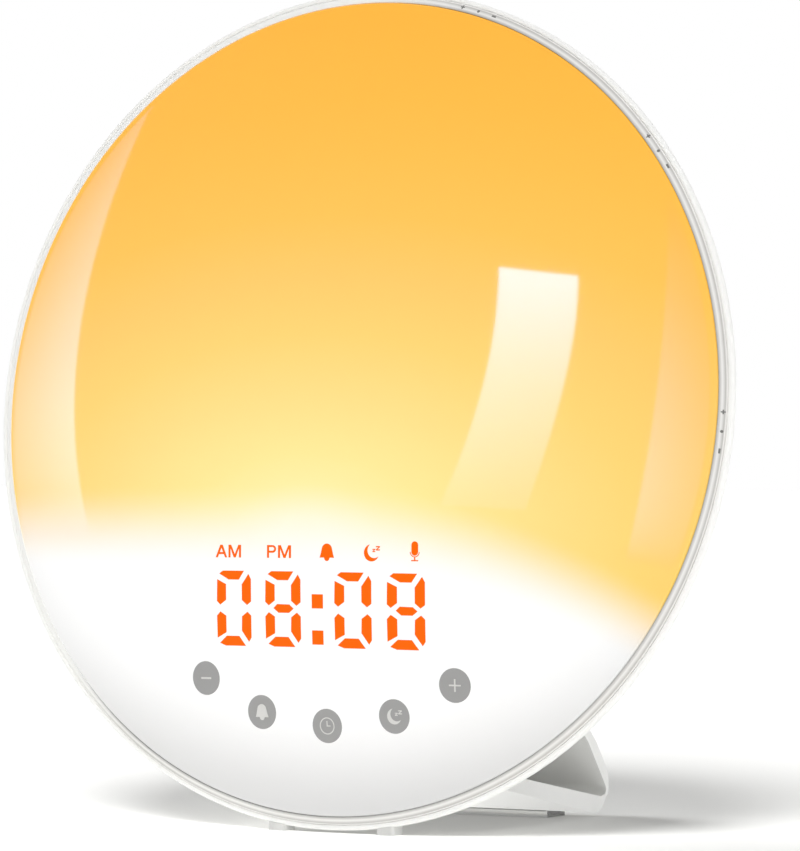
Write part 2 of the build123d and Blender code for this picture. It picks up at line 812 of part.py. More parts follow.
with BuildPart() as ring_feet:
    foot_y = centre_y + side_point(rim_front, ring_foot_height - rim_r)[0] + ring_foot_length / 2
    with BuildSketch(Plane.XY):
        with Locations((-ring_foot_x, foot_y), (ring_foot_x, foot_y)):
            RectangleRounded(ring_foot_width, ring_foot_length, ring_foot_round)
    extrude(amount=ring_foot_height)
    add(bowl_filled.part, mode=Mode.SUBTRACT)
finish(ring_feet.part, "ring_feet")

# ---- side keys ---------------------------------------------------------------------------------
key_top = key_depth - key_width / 2
key_bottom = key_depth + key_width / 2
cone_top = ledge_under
cone_bottom = key_bottom + key_gap

with BuildPart() as key_skin:
    revolve(
        section(
            (0, cone_top),
            (bowl_r(cone_top) + key_proud, cone_top),
            (bowl_r(cone_bottom) + key_proud, cone_bottom),
            (0, cone_bottom),
        ),
        axis=clock_axis,
    )

with BuildPart() as key_core:
    revolve(
        section(
            (0, cone_top),
            (bowl_r(cone_top) - key_wall, cone_top),
            (bowl_r(cone_bottom) - key_wall, cone_bottom),
            (0, cone_bottom),
        ),
        axis=clock_axis,
    )

switch_face = key_board_r + key_board_thick
nub_r = switch_face + switch_height + plunger_height + nub_gap
for name, angle in key_angles.items():
    with BuildPart() as side_key:
        with BuildSketch(key_plane(angle, key_pivot_r - pivot_boss_r)):
            RectangleRounded(key_length, key_width, key_corner)
        extrude(amount=rim_r)
        add(key_core.part, mode=Mode.SUBTRACT)
        with BuildSketch(key_plane(angle, nub_r)):
            with GridLocations(2 * switch_place, 0, 2, 1):
                Rectangle(nub_width, key_width - 2 * nub_inset)
        extrude(amount=rim_r - nub_r)
        with BuildSketch(key_plane(angle, key_pivot_r)):
            Rectangle(nub_width, key_width)
        extrude(amount=rim_r - key_pivot_r)
        add(key_skin.part, mode=Mode.INTERSECT)
        with BuildSketch(depth_plane(key_top)):
            with Locations(polar(key_pivot_r, angle)):
                Circle(pivot_boss_r)
        extrude(amount=-key_width)
        with BuildSketch(depth_plane(key_top)):
            with Locations(polar(key_pivot_r, angle)):
                Circle(pivot_pin_r + pivot_fit)
        extrude(amount=-key_width, mode=Mode.SUBTRACT)
    finish(side_key.part, name)

with BuildPart() as key_boards:
    for angle in key_angles.values():
        with BuildSketch(key_plane(angle, key_board_r)):
            Rectangle(key_length, 2 * key_board_reach)
        extrude(amount=key_board_thick)
finish(key_boards.part, "key_boards")

with BuildPart() as key_switches:
    for angle in key_angles.values():
        with BuildSketch(key_plane(angle, switch_face)):
            with GridLocations(2 * switch_place, 0, 2, 1):
                Rectangle(switch_size, switch_size)
        extrude(amount=switch_height)
        with BuildSketch(key_plane(angle, switch_face + switch_height)):
            with GridLocations(2 * switch_place, 0, 2, 1):
                Circle(switch_size / 4)
        extrude(amount=plunger_height)
finish(key_switches.part, "key_switches")

# ---- speaker, facing the grille ----------------------------------------------------------------
flange_inner_r = speaker_r - speaker_flange
with BuildPart() as speaker_gasket:
    with BuildSketch(depth_plane(back_inside)):
        with Locations(speaker_place):
            Circle(speaker_r)
            Circle(flange_inner_r, mode=Mode.SUBTRACT)
    extrude(amount=gasket_thick)
finish(speaker_gasket.part, "speaker_gasket")

speaker_section = Plane(origin=centre + upward * speaker_v, x_dir=(1, 0, 0), z_dir=upward * -1)
speaker_axis = Axis(centre + upward * speaker_v, front)
basket_mouth_r = speaker_r - basket_rim
with BuildPart() as speaker_basket:
    with BuildSketch(speaker_section):
        with BuildLine():
            Polyline(
                (flange_inner_r, -speaker_seat),
                (speaker_r, -speaker_seat),
                (speaker_r, -boss_depth),
                (basket_mouth_r, -boss_depth),
                (basket_r, -basket_depth),
                (0, -basket_depth),
                (0, -basket_depth - basket_sheet),
                (basket_r - basket_sheet, -basket_depth - basket_sheet),
                (basket_mouth_r - basket_sheet, -boss_depth),
                (flange_inner_r, -boss_depth),
                close=True,
            )
        make_face()
    revolve(axis=speaker_axis)
finish(speaker_basket.part, "speaker_basket")

cone_edge_r = flange_inner_r + speaker_flange / 8
cone_top_r = magnet_r / 2
with BuildPart() as speaker_cone:
    with BuildSketch(speaker_section):
        with BuildLine():
            Polyline(
                (cone_edge_r, -boss_depth),
                (cone_edge_r, cone_sheet - boss_depth),
                (flange_inner_r - cone_rim, cone_sheet - boss_depth),
                (cone_top_r, cone_deep - boss_depth),
                (0, cone_deep - boss_depth),
                (0, cone_deep - cone_sheet - boss_depth),
                (cone_top_r, cone_deep - cone_sheet - boss_depth),
                (flange_inner_r - cone_rim, -boss_depth),
                close=True,
            )
        make_face()
    revolve(axis=speaker_axis)
finish(speaker_cone.part, "speaker_cone")

with BuildPart() as speaker_magnet:
    with BuildSketch(depth_plane(basket_depth)):
        with Locations(speaker_place):
            Circle(magnet_r)
    extrude(amount=magnet_thick)
finish(speaker_magnet.part, "speaker_magnet")

with BuildPart() as speaker_screws:
    with BuildSketch(depth_plane(boss_depth)):
        with Locations(*speaker_screw_places):
            Circle(speaker_head_r)
    extrude(amount=small_head)
    with BuildSketch(depth_plane(boss_depth)):
        with Locations(*speaker_screw_places):
            Circle(small_screw_r)
    extrude(amount=-speaker_plate - gasket_thick - shell_wall / 2)
finish(speaker_screws.part, "speaker_screws")

# ---- main board and what it carries ------------------------------------------------------------
with BuildPart() as main_board:
    with BuildSketch(depth_plane(board_back)):
        with Locations((0, (board_top + board_bottom) / 2)):
            Rectangle(2 * board_half, board_top - board_bottom)
        with Locations(*board_posts):
            Circle(small_screw_r + fit, mode=Mode.SUBTRACT)
    extrude(amount=board_thick)
finish(main_board.part, "main_board")

with BuildPart() as board_parts:
    with BuildSketch(depth_plane(board_depth)):
        for place, size in zip(chip_places, chip_sizes):
            with Locations(place):
                Rectangle(*size)
    extrude(amount=chip_height)
    with BuildSketch(depth_plane(board_depth)):
        with Locations(*capacitor_places):
            Circle(capacitor_r)
    extrude(amount=capacitor_height)
    with BuildSketch(depth_plane(board_depth)):
        with Locations(*connector_places):
            Rectangle(*connector_size)
    extrude(amount=connector_height)
finish(board_parts.part, "board_parts")

with BuildPart() as board_screws:
    with BuildSketch(depth_plane(board_depth)):
        with Locations(*board_posts):
            Circle(small_head_r)
    extrude(amount=small_head)
    with BuildSketch(depth_plane(board_depth)):
        with Locations(*board_posts):
            Circle(small_screw_r)
    extrude(amount=-board_thick - small_bite)
finish(board_screws.part, "board_screws")

with BuildPart() as power_jack:
    with BuildSketch(depth_plane(board_back)):
        with Locations(jack_place):
            Rectangle(jack_size, jack_size)
    extrude(amount=board_back - back_inside + fit)
    with BuildSketch(depth_plane(body_depth)):
        with Locations(jack_place):
            Circle(jack_barrel_r)
    extrude(amount=shell_wall + fit)
    with BuildSketch(depth_plane(body_depth)):
        with Locations(jack_place):
            Circle(jack_socket_r)
            Circle(jack_pin_r, mode=Mode.SUBTRACT)
    extrude(amount=jack_socket, mode=Mode.SUBTRACT)
finish(power_jack.part, "power_jack")

reset_flange_depth = back_inside - slip
reset_stem_end = reset_flange_depth - reset_flange - reset_stem
with BuildPart() as reset_switch:
    with BuildSketch(depth_plane(board_back)):
        with Locations(reset_place):
            Rectangle(reset_switch_size, reset_switch_size)
    extrude(amount=-reset_switch_height)
    with BuildSketch(depth_plane(board_back + reset_switch_height)):
        with Locations(reset_place):
            Circle(reset_plunger_r)
    extrude(amount=board_back + reset_switch_height - reset_stem_end + reset_gap)
finish(reset_switch.part, "reset_switch")

with BuildPart() as reset_button:
    with BuildSketch(depth_plane(body_depth + reset_proud)):
        with Locations(reset_place):
            Circle(reset_r)
    extrude(amount=body_depth + reset_proud - reset_flange_depth)
    fillet(reset_button.faces().sort_by(clock_axis)[0].edges(), reset_proud / 2)
    with BuildSketch(depth_plane(reset_flange_depth)):
        with Locations(reset_place):
            Circle(reset_flange_r)
    extrude(amount=reset_flange)
    with BuildSketch(depth_plane(reset_flange_depth - reset_flange)):
        with Locations(reset_place):
            Circle(reset_r / 2)
    extrude(amount=reset_stem)
finish(reset_button.part, "reset_button")

with BuildPart() as coin_cell:
    with BuildSketch(depth_plane(cell_top)):
        with Locations(cell_place):
            Circle(cell_r)
    extrude(amount=cell_thick)
finish(coin_cell.part, "coin_cell")

with BuildPart() as battery_door:
    with BuildSketch(depth_plane(body_depth)):
        with Locations(cell_place):
            Circle(door_r)
    extrude(amount=door_thick)
    with BuildSketch(depth_plane(body_depth - door_thick)):
        with Locations(cell_place):
            Circle(spigot_r)
            Circle(spigot_r - spigot_wall, mode=Mode.SUBTRACT)
    extrude(amount=door_ledge + ear_thick + 2 * fit)
    with BuildSketch(depth_plane(ear_groove - fit)):
        with Locations(cell_place):
            Rectangle(ear_width, 2 * ear_r)
            Circle(spigot_r - spigot_wall / 2, mode=Mode.SUBTRACT)
    extrude(amount=ear_thick)
    with BuildSketch(depth_plane(body_depth)):
        with Locations(cell_place):
            SlotOverall(coin_slot, coin_slot_width)
    extrude(amount=door_thick / 2, mode=Mode.SUBTRACT)
finish(battery_door.part, "battery_door")

with BuildPart() as housing_screws:
    with BuildSketch(depth_plane(body_depth - counterbore)):
        with GridLocations(2 * column_place[0], 2 * column_place[1], 2, 2):
            Circle(screw_head_r)
    extrude(amount=-screw_head)
    with BuildSketch(depth_plane(body_depth - counterbore)):
        with GridLocations(2 * column_place[0], 2 * column_place[1], 2, 2):
            Circle(screw_r)
    extrude(amount=body_depth - counterbore - tray_depth - screw_tip_gap)
    with BuildSketch(depth_plane(body_depth - counterbore + screw_head)):
        with GridLocations(2 * column_place[0], 2 * column_place[1], 2, 2):
            Rectangle(screw_cross_width, screw_cross)
            Rectangle(screw_cross, screw_cross_width)
    extrude(amount=screw_head / 2, mode=Mode.SUBTRACT)
finish(housing_screws.part, "housing_screws")

# ---- stand -------------------------------------------------------------------------------------
wall_along = (-sin(radians(stand_wall_lean)), cos(radians(stand_wall_lean)))
wall_out = (cos(radians(stand_wall_lean)), sin(radians(stand_wall_lean)))
wall_start = (corner_y + stand_corner * wall_out[0], corner_z + stand_corner * wall_out[1])
wall_inner = (wall_start[0] - stand_wall * wall_out[0], wall_start[1] - stand_wall * wall_out[1])
top_along = (-cos(radians(stand_top_slope)), sin(radians(stand_top_slope)))
base_rear_top = (base_start[0] + stand_base * base_up[0], base_start[1] + stand_base * base_up[1])
base_end = meet(base_rear_top, top_along, wall_inner, wall_along)
base_run = (base_rear_top[0] - stand_front) / -top_along[0]
base_front_top = (stand_front, base_rear_top[1] + base_run * top_along[1])
flange_along = (lean_sin, lean_cos)
flange_inner = side_point(body_depth + slip, 0)
flange_outer = side_point(body_depth + slip + stand_wall, 0)

with BuildSketch(side_plane) as stand_profile:
    with BuildLine():
        Polyline(
            (stand_front, base_height(stand_front)),
            meet(base_start, base_along, wall_start, wall_along),
            meet(wall_start, wall_along, flange_outer, flange_along),
            side_point(body_depth + slip + stand_wall, stand_flange_top),
            side_point(body_depth + slip, stand_flange_top),
            meet(wall_inner, wall_along, flange_inner, flange_along),
            base_end,
            base_front_top,
            close=True,
        )
    make_face()
    rear_corners = stand_profile.vertices().sort_by(Axis.X)[-2:]
    fillet(rear_corners[-1], stand_corner)
    fillet(stand_profile.vertices().sort_by_distance(rear_corners[0])[0], stand_inner)

with BuildPart() as stand:
    extrude(stand_profile.sketch, amount=stand_half, both=True)
    with BuildSketch(Plane.XZ):
        with BuildLine():
            top_z = side_point(body_depth, stand_flange_top)[1] + 1.0
            Polyline(
                (-stand_half, 0),
                (stand_half, 0),
                (stand_half, stand_taper_start),
                (stand_top_half, top_z),
                (-stand_top_half, top_z),
                (-stand_half, stand_taper_start),
                close=True,
            )
        make_face()
    extrude(amount=rim_r, both=True, mode=Mode.INTERSECT)
    bevel_origin = (0, centre_y + base_end[0], base_end[1])
    bevel_plane = Plane(origin=bevel_origin, x_dir=(1, 0, 0), z_dir=(0, top_along[0], top_along[1]))
    for side in (-1, 1):
        for along, width in ((0, stand_bevel_start), (base_run, stand_bevel_width)):
            with BuildSketch(bevel_plane.offset(along)):
                Polygon(
                    (side * (stand_half - width), 0),
                    (side * (stand_half - width), stand_bevel_over),
                    (side * (stand_half + stand_bevel_over), stand_bevel_over),
                    (side * (stand_half + stand_bevel_over), -stand_bevel_height),
                    (side * stand_half, -stand_bevel_height),
                    align=None,
                )
        loft(mode=Mode.SUBTRACT)
    add(bowl_margin.part, mode=Mode.SUBTRACT)
    with BuildSketch(depth_plane(body_depth + slip + stand_wall / 2)):
        with GridLocations(2 * hook_place, 0, 2, 1):
            with Locations((0, hook_v)):
                Rectangle(hook_width, hook_thick)
    extrude(amount=stand_wall / 2 + hook_length)
    with BuildSketch(depth_plane(tongue_root)):
        with Locations((0, tongue_v)):
            Rectangle(2 * tongue_half, tongue_thick)
    extrude(amount=tongue_root - tongue_end)
finish(stand.part, "stand")

with BuildPart() as stand_foot:
    with BuildSketch(side_plane):
        with BuildLine():
            Polyline(
                (foot_front, 0),
                (foot_back, 0),
                (foot_back, base_height(foot_back)),
                (foot_front, base_height(foot_front)),
                close=True,
            )
        make_face()
    extrude(amount=foot_half, both=True)
finish(stand_foot.part, "stand_foot")
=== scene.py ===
import math

import bmesh
import bpy
import numpy as np
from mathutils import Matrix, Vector


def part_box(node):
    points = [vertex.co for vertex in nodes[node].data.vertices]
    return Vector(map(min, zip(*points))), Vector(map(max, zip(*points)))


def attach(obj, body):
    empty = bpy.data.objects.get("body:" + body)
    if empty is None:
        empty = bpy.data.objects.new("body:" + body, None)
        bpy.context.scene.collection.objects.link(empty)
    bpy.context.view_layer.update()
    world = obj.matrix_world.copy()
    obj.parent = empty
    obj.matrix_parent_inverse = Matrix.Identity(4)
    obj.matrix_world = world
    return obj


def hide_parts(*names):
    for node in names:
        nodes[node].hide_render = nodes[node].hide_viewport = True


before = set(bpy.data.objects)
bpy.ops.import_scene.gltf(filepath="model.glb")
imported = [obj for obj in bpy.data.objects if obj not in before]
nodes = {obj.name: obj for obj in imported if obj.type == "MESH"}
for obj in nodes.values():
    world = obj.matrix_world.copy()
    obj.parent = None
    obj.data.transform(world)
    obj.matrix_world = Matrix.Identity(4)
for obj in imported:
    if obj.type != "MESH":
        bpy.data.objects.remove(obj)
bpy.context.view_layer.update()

# %% [markdown]
# # A sunrise alarm clock
#
# The imported model is already here: every piece at its real size, in metres, with +Z up. This
# lesson gives the clock its looks.

# %% [markdown]
# ## Face coordinates
#
# The clock is a disc that leans back by six degrees, so world axes are awkward for it. Drawing
# on the disc is easier: u runs to the right, v up the face and h out of it, from the middle of
# the rim's plane. The middle isn't typed in: it follows from the box of the domed front, whose
# lowest point is the bottom of its skirt and whose rearmost point is the skirt's top.

# %% Axes and middle of the face
MM = 0.001
LEAN = math.radians(6)
SIDE = np.array([1, 0, 0])
UP = np.array([0, math.sin(LEAN), math.cos(LEAN)])
FRONT = np.array([0, -math.cos(LEAN), math.sin(LEAN)])
DOME_RISE = 11 * MM
SKIRT = 3.4 * MM

front_low, front_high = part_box("front_diffuser")
DOME_RADIUS = (front_high[0] - front_low[0]) / 2
CENTRE = np.array([
    0,
    front_high[1] - DOME_RADIUS * UP[1] + SKIRT * FRONT[1],
    front_low[2] + DOME_RADIUS * UP[2] + SKIRT * FRONT[2],
])
SPHERE = (DOME_RADIUS**2 + DOME_RISE**2) / (2 * DOME_RISE)
print("middle of the face, m:", CENTRE.round(5), "dome radius:", round(DOME_RADIUS, 5))


def on_face(u, v, h):
    """World points of face coordinates: the middle plus u to the side, v up the face and h to the front."""
    u, v, h = np.broadcast_arrays(u, v, h)
    return CENTRE + u[..., None] * SIDE + v[..., None] * UP + h[..., None] * FRONT


def face_box(name):
    """Lowest and highest face coordinates of a model node: its vertices less the middle, along the axes."""
    mesh = nodes[name].data
    points = np.empty(3 * len(mesh.vertices))
    mesh.vertices.foreach_get("co", points)
    points = (points.reshape(-1, 3) - CENTRE) @ np.stack([SIDE, UP, FRONT]).T
    return points.min(axis=0), points.max(axis=0)


def dome_height(u, v):
    """Height of the dome over the rim's plane: a sphere's, sqrt(R^2 - u^2 - v^2), less the sphere's depth."""
    return np.sqrt(SPHERE**2 - u**2 - v**2) - (SPHERE - DOME_RISE)


# %% [markdown]
# ## Meshes from arrays
#
# The turned pieces of the clock, its dome and its clear ring, could be made with the Spin tool.
# Here a piece is a grid of points worked out in one go, which gives round edges as fine as the
# picture needs. Points that fall together at the middle are merged, and the faces are then
# turned outwards.

# %% Surface helpers
SMOOTH_ANGLE = math.radians(30)
TOUCHING = 1e-7
TURNED_SEGMENTS = 288


def add_object(name, data):
    """Puts an object with this data into the scene."""
    added = bpy.data.objects.new(name, data)
    bpy.context.scene.collection.objects.link(added)
    return added


def new_piece(name, mesh, material, body):
    """Puts a mesh into the scene as a piece that rides on a body and takes a material."""
    piece = add_object(name, mesh)
    mesh.materials.clear()
    mesh.materials.append(material)
    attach(piece, body)
    print(name, len(mesh.polygons), "faces")
    return piece


def smooth(mesh):
    """Shades a mesh smooth, apart from edges that turn by more than SMOOTH_ANGLE."""
    mesh.shade_smooth()
    mesh.set_sharp_from_angle(angle=SMOOTH_ANGLE)


def close_mesh(mesh):
    """Merges points that fall together and turns the faces outwards."""
    work = bmesh.new()
    work.from_mesh(mesh)
    bmesh.ops.remove_doubles(work, verts=work.verts, dist=TOUCHING)
    bmesh.ops.recalc_face_normals(work, faces=work.faces)
    work.to_mesh(mesh)
    work.free()


def grid_mesh(name, points, index):
    """Mesh of a grid: index numbers its points, and each four neighbours in it become one face."""
    quads = np.stack([index[:-1, :-1], index[1:, :-1], index[1:, 1:], index[:-1, 1:]], axis=-1)
    mesh = bpy.data.meshes.new(name)
    mesh.from_pydata(points.reshape(-1, 3), [], quads.reshape(-1, 4).tolist())
    return mesh


def turned(name, profile):
    """Solid of revolution: profile point (r, h) goes to (r cos a, r sin a, h) for every angle a."""
    angles = np.linspace(0, 2 * math.pi, TURNED_SEGMENTS, endpoint=False)
    radius, height = np.array(profile).T[..., None]
    points = on_face(radius * np.cos(angles), radius * np.sin(angles), height)
    index = np.arange(len(profile) * TURNED_SEGMENTS).reshape(-1, TURNED_SEGMENTS)
    index = np.hstack([index, index[:, :1]])
    if radius[0, 0] > 0:
        index = np.vstack([index, index[:1]])
    mesh = grid_mesh(name, points, index)
    close_mesh(mesh)
    smooth(mesh)
    return mesh


def arc(middle, radius, start, end, steps=12):
    """Points on a circle from one angle to another: middle + radius (cos a, sin a), angles in degrees."""
    angles = np.radians(np.linspace(start, end, steps))
    return np.stack([middle[0] + radius * np.cos(angles), middle[1] + radius * np.sin(angles)], axis=-1)


# %% [markdown]
# ## Node helpers
#
# A material is a small graph. One function adds a node, sets its properties and links its
# inputs, so each material below reads as a list of its nodes. Colours are written the way a
# picture editor shows them, as sRGB hex, and the shader wants them linear.

# %% Node and colour helpers
GRAIN_DETAIL = 3.0


def linear(hex_colour):
    """Linear RGBA of an sRGB hex colour: c / 12.92 for dark values, ((c + 0.055) / 1.055) ** 2.4 above."""
    channels = [int(hex_colour[i : i + 2], 16) / 255 for i in (1, 3, 5)]
    return [c / 12.92 if c < 0.04045 else ((c + 0.055) / 1.055) ** 2.4 for c in channels] + [1]


def add_node(tree, kind, inputs=None, **settings):
    """Adds one node: settings are its own properties, inputs maps a socket to a value or to an output."""
    added = tree.nodes.new(kind)
    for key, value in settings.items():
        setattr(added, key, value)
    for key, value in (inputs or {}).items():
        if isinstance(value, bpy.types.NodeSocket):
            tree.links.new(value, added.inputs[key])
        else:
            added.inputs[key].default_value = value
    return added


def new_material(name, inputs):
    """A material whose Principled shader has these constant inputs; returns it, its tree and the shader."""
    material = bpy.data.materials.new(name)
    material.use_nodes = True
    tree = material.node_tree
    shader = tree.nodes["Principled BSDF"]
    for key, value in inputs.items():
        shader.inputs[key].default_value = value
    return material, tree, shader


def grain(material_parts, size, depth, speckle=0.0):
    """Gives a finish its texture: noise of one size lifts the surface by depth and varies its roughness."""
    material, tree, shader = material_parts
    place = add_node(tree, "ShaderNodeTexCoord").outputs["Object"]
    noise = add_node(
        tree, "ShaderNodeTexNoise", {"Vector": place, "Scale": 1 / size, "Detail": GRAIN_DETAIL}
    )
    bump = add_node(
        tree, "ShaderNodeBump", {"Height": noise.outputs["Fac"], "Distance": depth, "Strength": 1.0}
    )
    tree.links.new(bump.outputs["Normal"], shader.inputs["Normal"])
    if speckle:
        level = shader.inputs["Roughness"].default_value
        rough = add_node(
            tree,
            "ShaderNodeMapRange",
            {"Value": noise.outputs["Fac"], "To Min": level - speckle, "To Max": level + speckle},
        )
        tree.links.new(rough.outputs["Result"], shader.inputs["Roughness"])
    return material


# %% [markdown]
# ## Camera
#
# A product is often taken from far away with a long lens, which keeps its circle calm. This
# camera stands a metre off, thirty degrees to the right and a hair under the middle of the
# clock. The shift moves the picture without turning the camera.

# %% Camera
CAMERA_AZIMUTH = math.radians(30.6)
CAMERA_ELEVATION = math.radians(-0.4)
CAMERA_DISTANCE = 1.0
CAMERA_LENS = 203.1
CAMERA_SENSOR = 36
CAMERA_SHIFT = (0.0602, -0.0226)

toward_camera = np.array([
    math.sin(CAMERA_AZIMUTH) * math.cos(CAMERA_ELEVATION),
    -math.cos(CAMERA_AZIMUTH) * math.cos(CAMERA_ELEVATION),
    math.sin(CAMERA_ELEVATION),
])
eye = CENTRE + CAMERA_DISTANCE * toward_camera

camera = add_object("camera", bpy.data.cameras.new("camera"))
camera.data.lens = CAMERA_LENS
camera.data.sensor_width = CAMERA_SENSOR
camera.data.shift_x, camera.data.shift_y = CAMERA_SHIFT
camera.location = eye
camera.rotation_euler = (math.pi / 2 - CAMERA_ELEVATION, 0, CAMERA_AZIMUTH)
bpy.context.scene.camera = camera
print("camera at, m:", [round(c, 4) for c in camera.location])

# %% [markdown]
# ## Floor and sky
#
# A white sweep is the usual stage for a lamp. A real one is paper lit from above. Here the floor
# is a plain white sheet and the sky gives soft light from everywhere. Where a ray comes straight
# from the camera, from a mirror or through glass, floor and sky show white, and the floor keeps
# the shadow. Seen from below the floor is clear, so the clock's underside can be looked at.

# %% World and floor
SKY_LIGHT = 0.22
SKY_SEEN = 1.0
FLOOR_GLOW = 0.08
FLOOR_SIZE = 12.0


def seen_ray(tree):
    """1 for a camera, glossy or transmission ray, and 0 for the rays that carry light between surfaces."""
    path = add_node(tree, "ShaderNodeLightPath")
    seen = path.outputs["Is Camera Ray"]
    for kind in ("Is Glossy Ray", "Is Transmission Ray"):
        most = add_node(tree, "ShaderNodeMath", {0: seen, 1: path.outputs[kind]}, operation="MAXIMUM")
        seen = most.outputs[0]
    return seen


world = bpy.data.worlds.new("white studio")
bpy.context.scene.world = world
world.use_nodes = True
sky = world.node_tree
strength = add_node(
    sky, "ShaderNodeMapRange", {"Value": seen_ray(sky), "To Min": SKY_LIGHT, "To Max": SKY_SEEN}
)
sky.links.new(strength.outputs["Result"], sky.nodes["Background"].inputs["Strength"])
sky.nodes["Background"].inputs["Color"].default_value = linear("#FFFFFF")

floor_corners = np.array([(-1, -1, 0), (1, -1, 0), (1, 1, 0), (-1, 1, 0)]) * FLOOR_SIZE / 2
floor_mesh = bpy.data.meshes.new("floor")
floor_mesh.from_pydata(floor_corners, [], [(0, 1, 2, 3)])
floor = add_object("floor", floor_mesh)
# Matt paper: it has no shine, and its own light shows only to the rays that are seen.
paper, paper_tree, paper_shader = new_material(
    "white paper sweep",
    {
        "Base Color": linear("#EFEFED"),
        "Roughness": 0.9,
        "Specular IOR Level": 0.0,
        "Emission Color": linear("#FFFFFF"),
    },
)
glow = add_node(paper_tree, "ShaderNodeMath", {0: seen_ray(paper_tree), 1: FLOOR_GLOW}, operation="MULTIPLY")
paper_tree.links.new(glow.outputs[0], paper_shader.inputs["Emission Strength"])
below = add_node(paper_tree, "ShaderNodeNewGeometry").outputs["Backfacing"]
clear_below = add_node(paper_tree, "ShaderNodeMixShader", {0: below, 1: paper_shader.outputs["BSDF"]})
paper_tree.links.new(add_node(paper_tree, "ShaderNodeBsdfTransparent").outputs["BSDF"], clear_below.inputs[2])
paper_tree.links.new(clear_below.outputs["Shader"], paper_tree.nodes["Material Output"].inputs["Surface"])
floor_mesh.materials.append(paper)
bpy.context.scene.view_settings.view_transform = "Standard"
print("floor", FLOOR_SIZE, "m wide, sky light", SKY_LIGHT)

# %% [markdown]
# ## Lamps
#
# One lamp could light both the clock and its shadow, but then a darker shadow would also mean a
# harsher clock. In a studio these are separate jobs, and light linking keeps them apart here. The
# key, top and fill lamps are broad and light the clock alone: from the front, from above and from
# the right behind it, where the stand and the shell would be dark. Two more lamps light the floor
# alone: one from the front throws the clock's shadow back, and one low from the left gives it its
# long thin end. The bounce lamp stands for the paper's own glow: it shines up through the floor
# and reaches the undersides. All stay out of mirrors, so the front shows only its cards.

# %% Lamps for the clock and lamps for the floor
# travel is the way that the light goes, power is in W/m2 and softness in degrees across. A lamp
# with floor set lights the floor alone.
LAMPS = {
    "key": {"travel": (-0.18, 0.75, -0.63), "power": 1.5, "softness": 40, "floor": False},
    "top": {"travel": (0.2, 0.1, -0.97), "power": 0.5, "softness": 60, "floor": False},
    "fill": {"travel": (-0.82, -0.52, -0.22), "power": 1.35, "softness": 60, "floor": False},
    "bounce": {"travel": (-0.45, 0.0, 0.9), "power": 0.7, "softness": 60, "floor": False},
    "front shadow": {"travel": (-0.2, 0.74, -0.64), "power": 3.3, "softness": 22, "floor": True},
    "side shadow": {"travel": (0.93, -0.16, -0.34), "power": 2.7, "softness": 35, "floor": True},
}

floor_only = bpy.data.collections.new("floor only")
all_but_floor = bpy.data.collections.new("all but the floor")
for group, state in ((floor_only, "INCLUDE"), (all_but_floor, "EXCLUDE")):
    group.objects.link(floor)
    group.collection_objects[0].light_linking.link_state = state

for name, lamp in LAMPS.items():
    light = add_object(name, bpy.data.lights.new(name, "SUN"))
    light.data.energy = lamp["power"]
    light.data.angle = math.radians(lamp["softness"])
    light.rotation_mode = "QUATERNION"
    light.rotation_quaternion = Vector(lamp["travel"]).to_track_quat("-Z", "Y")
    light.visible_glossy = False
    light.light_linking.receiver_collection = floor_only if lamp["floor"] else all_but_floor
    if lamp["travel"][2] > 0:
        light.light_linking.blocker_collection = all_but_floor
    print(name, "lamp,", lamp["power"], "W/m2,", lamp["softness"], "degrees across")

# %% [markdown]
# ## Cards for the polished front to mirror
#
# What makes a glossy dome read as glossy is what it mirrors: one upright softbox and, towards its
# sides, two tall windows. Moving lamps until their mirror images sit right takes many tries. The
# other way round is quicker: the image is drawn on the dome, and every point of it is sent out
# along the mirrored line of sight, which is where the card has to be. The cards show in the front
# only and light nothing else. They are bluish, because a neutral card over amber looks yellow, and
# on the white parts that tint would show. A card's glow comes on top of 1, the sky's own level, so
# that it has no edge where its glow runs out.

# %% Mirror cards
CARD_DISTANCE = 1.5
CARD_STEPS = 24

front_only = bpy.data.collections.new("front only")


def quadratic(points, t):
    """Curve from A to C, drawn towards B, all in millimetres: (1-t)^2 A + 2t(1-t) B + t^2 C."""
    first, pull, last = np.array(points)[:, None, :] * MM
    t = t[:, None]
    return (1 - t) ** 2 * first + 2 * t * (1 - t) * pull + t**2 * last


